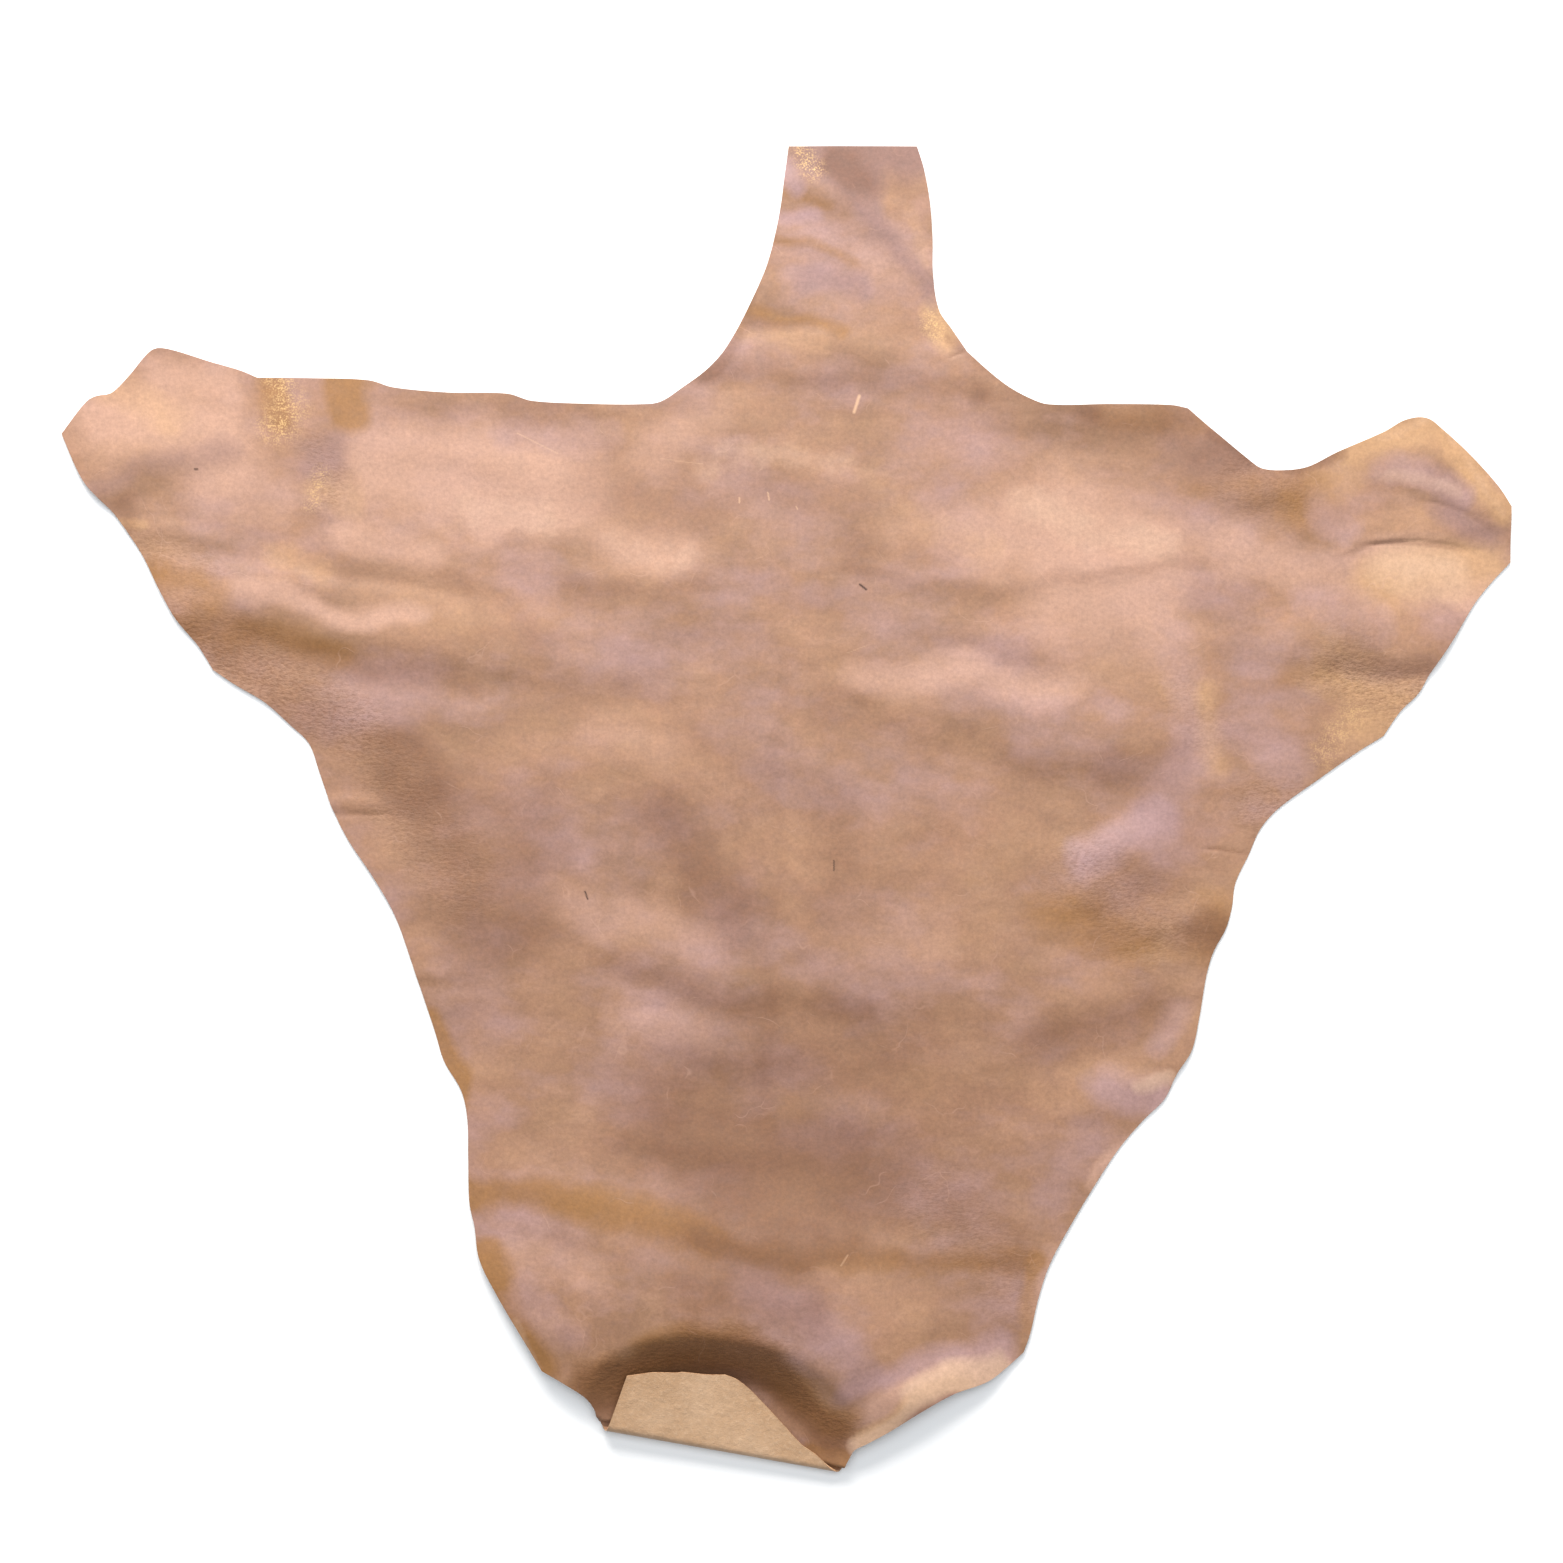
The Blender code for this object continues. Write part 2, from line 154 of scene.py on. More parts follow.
# Ridges the hide lies in: the crest's points, its height, its width on the neck side and on the blunt
# side, and the share of its length it rises over at its start and falls over at its end.
ridges = [
    ("left leg, lower", [
        (-505, 158), (-430, 160), (-350, 148), (-270, 133), (-190, 118), (-90, 102), (10, 86),
    ], 4.4, 46, 32, 0.1, 0.8),
    ("left leg, second", [(-440, 178), (-360, 172), (-280, 158), (-190, 142)], 1.2, 14, 14, 0.3, 0.5),
    ("left leg, third", [(-400, 196), (-320, 190), (-240, 172), (-150, 150)], 1.2, 16, 14, 0.3, 0.5),
    ("left leg, upper", [(-585, 242), (-530, 254), (-470, 278), (-390, 312)], 3.8, 56, 32, 0.25, 0.4),
    ("left leg, below", [
        (-460, 98), (-400, 96), (-320, 84), (-240, 70), (-170, 60),
    ], 1.6, 24, 40, 0.25, 0.5),
    ("left leg, small", [(-515, 214), (-460, 209), (-390, 196)], 1.2, 12, 11, 0.3, 0.5),
    ("left shoulder edge", [(-340, 334), (-260, 324), (-180, 316), (-100, 314)], 2.2, 20, 26, 0.3, 0.3),
    ("right leg, upper", [(440, 262), (490, 262), (530, 248), (575, 214)], 3.4, 36, 26, 0.4, 0.3),
    ("right leg, sharp", [(405, 190), (445, 206), (490, 209), (545, 202)], 2.0, 24, 8, 0.35, 0.3),
    ("right leg, lower", [
        (335, 92), (375, 112), (425, 128), (470, 128), (540, 118),
    ], 4.0, 46, 28, 0.5, 0.25),
    ("right shoulder edge", [
        (120, 352), (170, 330), (240, 318), (310, 306), (360, 270), (410, 262),
    ], 5.6, 30, 50, 0.3, 0.3),
    ("notch", [(318, 232), (350, 240), (388, 244), (425, 250)], 1.4, 18, 15, 0.4, 0.4),
    ("neck root", [(-80, 342), (0, 352), (60, 352), (120, 342), (190, 326)], 1.8, 24, 24, 0.2, 0.3),
    ("neck root, second", [(-40, 332), (20, 336), (90, 326), (150, 312)], 1.2, 12, 14, 0.3, 0.4),
    ("neck fold", [(-38, 400), (-5, 394), (40, 382), (110, 374)], 1.4, 20, 15, 0.15, 0.5),
    ("neck, left", [(-24, 446), (0, 441), (30, 430), (55, 424)], 1.3, 14, 13, 0.2, 0.5),
    ("neck, upper", [(-5, 490), (20, 482), (45, 466), (70, 454)], 1.4, 16, 15, 0.2, 0.5),
    ("neck, diagonal", [(52, 464), (84, 440), (118, 400)], 2.0, 24, 22, 0.3, 0.3),
    ("back, upper", [
        (10, 186), (90, 179), (150, 175), (220, 178), (300, 191), (350, 199),
    ], 1.2, 30, 18, 0.3, 0.3),
    ("back, upper left", [
        (-235, 204), (-180, 190), (-130, 180), (-70, 178), (-10, 174),
    ], 1.1, 20, 18, 0.3, 0.3),
    ("back, middle", [
        (0, 102), (70, 95), (130, 80), (200, 64), (270, 54), (345, 58),
    ], 3.0, 46, 40, 0.3, 0.35),
    ("back, second", [(50, 148), (110, 144), (180, 130), (230, 124)], 1.0, 18, 16, 0.4, 0.4),
    ("back, hollow's rim", [
        (-150, -60), (-120, -100), (-70, -120), (-20, -118), (20, -90),
    ], 1.2, 40, 34, 0.3, 0.4),
    ("back, left", [(-240, 34), (-170, 30), (-110, 24), (-50, 0)], 1.8, 44, 50, 0.4, 0.4),
    ("back, lower left", [
        (-190, -96), (-130, -108), (-70, -124), (0, -138), (80, -144), (190, -142),
    ], 1.0, 28, 26, 0.25, 0.5),
    ("back, third", [(-150, -166), (-90, -176), (-20, -190), (60, -196)], 1.2, 26, 24, 0.4, 0.4),
    ("right flank, upper", [(190, -62), (230, -42), (280, -20), (325, -8)], 3.2, 24, 46, 0.3, 0.5),
    ("right flank, middle", [(250, -92), (300, -84), (350, -76)], 2.4, 20, 24, 0.4, 0.2),
    ("right flank, lower", [(180, -160), (230, -146), (290, -126), (340, -108)], 2.4, 26, 34, 0.3, 0.3),
    ("right flank, last", [(190, -240), (240, -222), (290, -202), (335, -190)], 2.0, 30, 24, 0.4, 0.2),
    ("left flank crease", [(-375, 0), (-340, 1), (-290, 3)], 1.6, 10, 9, 0.15, 0.6),
    ("left flank, lower", [(-305, -124), (-285, -126), (-245, -122)], 1.0, 11, 10, 0.3, 0.5),
    ("left flank, last", [(-262, -200), (-230, -206), (-180, -212)], 0.9, 14, 14, 0.3, 0.5),
    ("across the blunt end", [
        (-270, -276), (-180, -290), (-110, -306), (-40, -322), (50, -336), (215, -342),
    ], 1.1, 36, 22, 0.15, 0.3),
    ("blunt end, left edge", [
        (-250, -324), (-228, -362), (-202, -402), (-178, -434),
    ], 2.8, 40, 16, 0.3, 0.3),
    ("blunt end, right edge", [(60, -486), (100, -466), (140, -450), (186, -424)], 6.0, 46, 16, 0.3, 0.4),
    ("lower back, faint", [(-60, -226), (20, -236), (100, -240), (180, -230)], 0.9, 24, 22, 0.4, 0.4),
    ("lower back, second", [(-200, -236), (-130, -248), (-40, -260), (40, -266)], 0.9, 24, 22, 0.4, 0.4),
]

# Smaller waves all over, long and low and running slightly down to the right, with where they are strongest.
ripples = {
    "long": (0.130, 0.024, 0.6 * mm),  # length along, length across, height
    "broad": (0.100, 0.058, 1.9 * mm),
    "round": (0.050, 0.036, 1.0 * mm),
    "short": (0.036, 0.012, 0.25 * mm),
    "slant": -0.15,  # on the left; towards the right they turn up again
    "turn": 0.42,
    "lift": 0.8 * mm,  # so that the hollows between them just touch the surface
    "landing": 0.5 * mm,  # how gently the sheet comes down to the surface
    "pressed": 0.15 * mm,  # and how far its own weight presses it on
    "seedStep": 7.3,
    "everywhere": 0.6,
    "strongest": [
        ([(-500, 190), (-330, 165), (-120, 120), (20, 90)], 70, 0.9),
        ([(-260, 250), (-60, 210), (150, 150)], 60, 0.4),
        ([(40, 500), (50, 400), (60, 340)], 50, 0.7),
        ([(400, 240), (520, 190)], 60, 0.5),
        ([(420, 110), (320, 40)], 50, 0.5),
        ([(-300, -60), (-240, -200)], 40, 0.5),
        ([(230, -60), (330, -150)], 50, 0.5),
    ],
}

creaseEnds = 0.25  # share of a sharp crease's length that it fades in over, and out over

# Sharp creases: points along each, half width, depth.
creases = [
    ("right leg, sharp", [(430, 202), (460, 205), (495, 204), (534, 197)], 3.4, 1.0),
    ("right leg, upper", [(474, 238), (500, 236), (524, 228), (548, 210)], 3.6, 0.3),
    ("right flank", [(320, -31), (336, -32), (360, -36)], 2.2, 1.0),
    ("left flank, upper", [(-352, -5), (-330, -5), (-300, -4)], 3.4, 0.4),
    ("notch", [(124, 347), (132, 350), (141, 353)], 2.0, 0.5),
]

# Small light scratches and dark nicks: from, to, half width, and how light (or dark, below 0).
marks = [
    ("long scratch", 56.5, 318.5, 52.5, 306, 2.2, 0.75),
    ("nick in a row, first", -36, 240, -36, 236, 1.2, 0.6),
    ("nick in a row, second", -14, 244, -13, 238, 1.2, 0.6),
    ("nick in a row, third", 8, 233, 9, 231, 1.1, 0.5),
    ("low scratch", 42, -350, 47, -342, 1.1, 0.5),
    ("pale line, left", -208, 290, -176, 274, 1.0, 0.4),
    ("pale line, back", -97, 270, -64, 266, 1.0, 0.3),
    ("dark line, back", 14, 261, 88, 227, 0.9, -0.24),
    ("pale line, middle", 47, 120, 63, 126, 0.9, 0.3),
    ("dark nick, back", 57, 173, 62, 169, 1.3, -1.0),
    ("dark nick, middle", 37, -40, 37, -48, 1.1, -0.8),
    ("dark nick, left", -155, -64, -153, -70, 1.2, -0.9),
    ("dark dot, leg", -456, 262, -454, 262, 1.5, -0.8),
]

foldAlong = (fold["right"] - fold["left"]).normalized()
foldOut = Vector((foldAlong.y, -foldAlong.x))  # away from the hide
foldLength = (fold["right"] - fold["left"]).length


def smoothStep(value):
    value = np.clip(value, 0.0, 1.0)
    return value * value * (3.0 - 2.0 * value)


def fromFold(along, out):
    return fold["left"] + foldAlong * along + foldOut * out


def toFold(points):
    offset = points - np.array(fold["left"])
    return offset @ np.array(foldAlong), offset @ np.array(foldOut)


def smoothCurve(points, spacing):
    found = []
    last = len(points) - 1
    for i in range(last):
        start, end = points[i], points[i + 1]
        before, after = points[max(i - 1, 0)], points[min(i + 2, last)]
        chord = (end - start).length
        leave = (end - before).normalized() * chord / 3.0
        arrive = (after - start).normalized() * chord / 3.0
        steps = max(1, round(chord / spacing))
        found += interpolate_bezier(start, start + leave, end - arrive, end, steps + 1)[:-1]
    return [Vector((point[0], point[1])) for point in found]


def flatOutline():
    outline = []
    for name, points in edges.items():
        outline += smoothCurve([Vector((x, y, 0.0)) * mm for x, y in points], sheet["edgeSpacing"])
        if name == "blunt end, right":
            outline.append(Vector(points[-1]) * mm)
            for tip in tipEdges.values():
                bendPoints = [fromFold(a * mm, b * mm).to_3d() for a, b in tip]
                outline += smoothCurve(bendPoints, sheet["foldSpacing"])
            outline.append(fromFold(tipEdges["left"][-1][0] * mm, tipEdges["left"][-1][1] * mm))
    return np.array([tuple(point) for point in outline])


def lattice(low, high, spacing):
    rows = np.arange(low[1], high[1], spacing * 0.866)
    columns = np.arange(low[0], high[0], spacing)
    x, y = np.meshgrid(columns, rows)
    x[1::2] += spacing / 2
    return np.column_stack([x.ravel(), y.ravel()])


def inside(points, outline):
    found = np.zeros(len(points), bool)
    for a, b in zip(outline, np.roll(outline, -1, axis=0)):
        if a[1] == b[1]:
            continue
        crosses = (a[1] > points[:, 1]) != (b[1] > points[:, 1])
        x = a[0] + (points[:, 1] - a[1]) * (b[0] - a[0]) / (b[1] - a[1])
        found ^= crosses & (points[:, 0] < x)
    return found


def clearOf(points, others, distance):
    tree = kdtree.KDTree(len(others))
    for i, other in enumerate(others):
        tree.insert((other[0], other[1], 0.0), i)
    tree.balance()
    far = [tree.find((x, y, 0.0))[2] > distance for x, y in points]
    return points[np.array(far)]


# how far each point is from a line through the given points: signed (left is above 0), and the share along it
def alongLine(points, line):
    line = np.array([tuple(point) for point in line])
    starts, spans = line[:-1], np.diff(line, axis=0)
    lengths = np.linalg.norm(spans, axis=1)
    before = np.concatenate([[0.0], np.cumsum(lengths)])
    offsets = points[:, None, :] - starts[None, :, :]
    shares = np.clip((offsets * spans).sum(2) / lengths**2, 0.0, 1.0)
    gaps = offsets - shares[:, :, None] * spans
    distances = np.linalg.norm(gaps, axis=2)
    nearest = distances.argmin(1)
    row = np.arange(len(points))
    side = spans[nearest, 0] * offsets[row, nearest, 1] - spans[nearest, 1] * offsets[row, nearest, 0]
    share = (before[nearest] + shares[row, nearest] * lengths[nearest]) / before[-1]
    return distances[row, nearest] * np.where(side < 0, -1.0, 1.0), share


def tracedLine(points):
    curve = smoothCurve([Vector((x, y, 0.0)) * mm for x, y in points], sheet["lineSpacing"])
    return curve + [Vector(points[-1]) * mm]


def ridgeHeight(points, crest, height, neckSide, bluntSide, rising, falling):
    across, share = alongLine(points, tracedLine(crest))
    width = np.where(across > 0, neckSide, bluntSide) * mm
    side = 1.0 - np.minimum(np.abs(across) / width, 1.0) ** 2
    fade = smoothStep(share / rising) * smoothStep((1.0 - share) / falling)
    return height * mm * side * side * fade


def creaseField(points):
    total = np.zeros(len(points))
    for _, line, halfWidth, depth in creases:
        across, share = alongLine(points, tracedLine(line))
        fade = smoothStep(share / creaseEnds) * smoothStep((1.0 - share) / creaseEnds)
        total += depth * fade * (1.0 - smoothStep(np.abs(across) / (halfWidth * mm)))
    return total


patch = {"reach": 1.5, "most": 1.3}  # half widths out to where it has faded, and the strongest it gets


def patchField(points, rows):
    total = np.zeros(len(points))
    for line, halfWidth, strength in rows:
        across, _ = alongLine(points, [(x * mm, y * mm) for x, y in line])
        out = np.minimum(np.abs(across) / (halfWidth * patch["reach"] * mm), 1.0)
        total += strength * (1.0 - out**2) ** 2
    return np.clip(total, 0.0, patch["most"])


# length of each wave, and how far it moves a line
wander = [(75 * mm, 16 * mm), (22 * mm, 5 * mm)]


# lines and edges wander a little, so that none is drawn with a rule
def wandered(points, share):
    moved = points.copy()
    for size, reach in wander:
        for axis in (0, 1):
            drift = [noise.noise((x / size, y / size, 3.1 + 5.0 * axis)) for x, y in points]
            moved[:, axis] += share * reach * np.array(drift)
    return moved


# a slope from 0 to 1 that is even but for a rounded foot and a rounded top
def ramp(value, foot, top):
    at = np.linspace(0.0, 1.0, 201)
    steep = smoothStep(at / foot) * smoothStep((1.0 - at) / top)
    return np.interp(value, at, np.cumsum(steep) / steep.sum())


def dishHeight(along, out):
    side = np.abs(along - dish["middle"]) / dish["halfWidth"]
    depth = np.maximum(-out, 0.0) / dish["depth"]
    size = (side ** dish["power"] + depth ** dish["power"]) ** (1.0 / dish["power"])
    opposite = smoothStep(depth / np.maximum(size, 1e-6) * dish["closes"])
    crest = dish["crestEnds"] + (dish["crest"] - dish["crestEnds"]) * opposite
    spread = dish["spreadEnds"] + (dish["spread"] - dish["spreadEnds"]) * opposite
    within = ramp((size - dish["floor"]) / (1.0 - dish["floor"]), *dish["innerRamp"])
    beyond = 1.0 - ramp((size - 1.0) / spread, *dish["outerRamp"])
    return crest * np.where(size < 1.0, within, beyond)


def rippleHeight(points):
    total = np.zeros(len(points))
    toRight = np.maximum(points[:, 0], 0)
    sloped = points[:, 1] - ripples["slant"] * points[:, 0] - ripples["turn"] * toRight**2
    for seed, name in enumerate(("long", "broad", "round", "short")):
        along, across, height = ripples[name]
        x, y = points[:, 0] / along, sloped / across
        total += height * np.array([noise.noise((a, b, seed * ripples["seedStep"])) for a, b in zip(x, y)])
    return total * (ripples["everywhere"] + patchField(points, ripples["strongest"])) + ripples["lift"]


def relief(points):
    along, out = toFold(points)
    height = rippleHeight(points)
    moved = wandered(points, 0.4)
    for row in ridges:
        height += ridgeHeight(moved, *row[1:])
    height *= smoothStep((-out - fold["calmFrom"]) / fold["calmOver"])
    # no lower than the surface, and rounded where it meets it
    height = 0.5 * (height + np.sqrt(height**2 + ripples["landing"] ** 2)) - ripples["pressed"]
    height += dishHeight(along, out) - creaseField(points) * mm
    return np.maximum(height, 0.0)


# where each point of the flat cut comes to lie
def laid(points):
    along, out = toFold(points)
    growth = fold["radiusRight"] - fold["radiusLeft"]
    radius = fold["radiusLeft"] + growth * np.clip(along / foldLength, 0, 1)
    past = out + radius
    bent = (past > 0) & (along > -fold["past"]) & (along < foldLength + fold["past"])
    turn = np.clip(past / radius, 0.0, math.pi)
    run = np.maximum(past - math.pi * radius, 0.0)
    rise = math.sin(fold["flapRise"])
    wave = fold["flapWave"] * np.sin(along / fold["waveLength"]) * smoothStep(run / fold["waveGrows"])
    back = radius * np.sin(turn) - radius - run * math.cos(fold["flapRise"])
    height = radius * (1.0 - np.cos(turn)) + run * rise + wave
    turned = np.array(fold["left"]) + along[:, None] * np.array(foldAlong) + back[:, None] * np.array(foldOut)
    flat = np.column_stack([points, relief(points)])
    return np.where(bent[:, None], np.column_stack([turned, height]), flat)


def sheetPoints():
    outline = flatOutline()
    low, high = outline.min(0), outline.max(0)
    stripLow = (-fold["stripBefore"], -fold["stripIn"])
    stripHigh = (foldLength + fold["stripPast"], fold["stripOut"])
    strip = lattice(stripLow, stripHigh, sheet["foldSpacing"])
    strip = np.array(fold["left"]) + strip[:, :1] * np.array(foldAlong) + strip[:, 1:] * np.array(foldOut)
    fine = [strip]
    reach = sheet["markReach"]
    for _, x0, y0, x1, y1, _, _ in marks:
        box = np.array([[min(x0, x1), min(y0, y1)], [max(x0, x1), max(y0, y1)]]) * mm
        close = lattice(box[0] - reach, box[1] + reach, sheet["markSpacing"])
        line = [(x0 * mm, y0 * mm), (x1 * mm, y1 * mm)]
        fine.append(close[np.abs(alongLine(close, line)[0]) < reach])
    reach = sheet["creaseReach"]
    for _, line, _, _ in creases:
        box = np.array(line) * mm
        boxLow, boxHigh = box.min(0) - sheet["creaseBox"], box.max(0) + sheet["creaseBox"]
        close = lattice(boxLow, boxHigh, sheet["creaseSpacing"])
        fine.append(close[np.abs(alongLine(close, tracedLine(line))[0]) < reach])
    fine = np.vstack(fine)
    fine = fine[inside(fine, outline)]
    fine = clearOf(fine, outline, sheet["foldSpacing"] * sheet["clearance"])
    coarse = lattice(low, high, sheet["spacing"])
    coarse = coarse[inside(coarse, outline)]
    coarse = clearOf(coarse, outline, sheet["spacing"] * sheet["clearance"])
    coarse = clearOf(coarse, fine, sheet["spacing"] * sheet["clearance"])
    return outline, np.vstack([outline, fine, coarse])


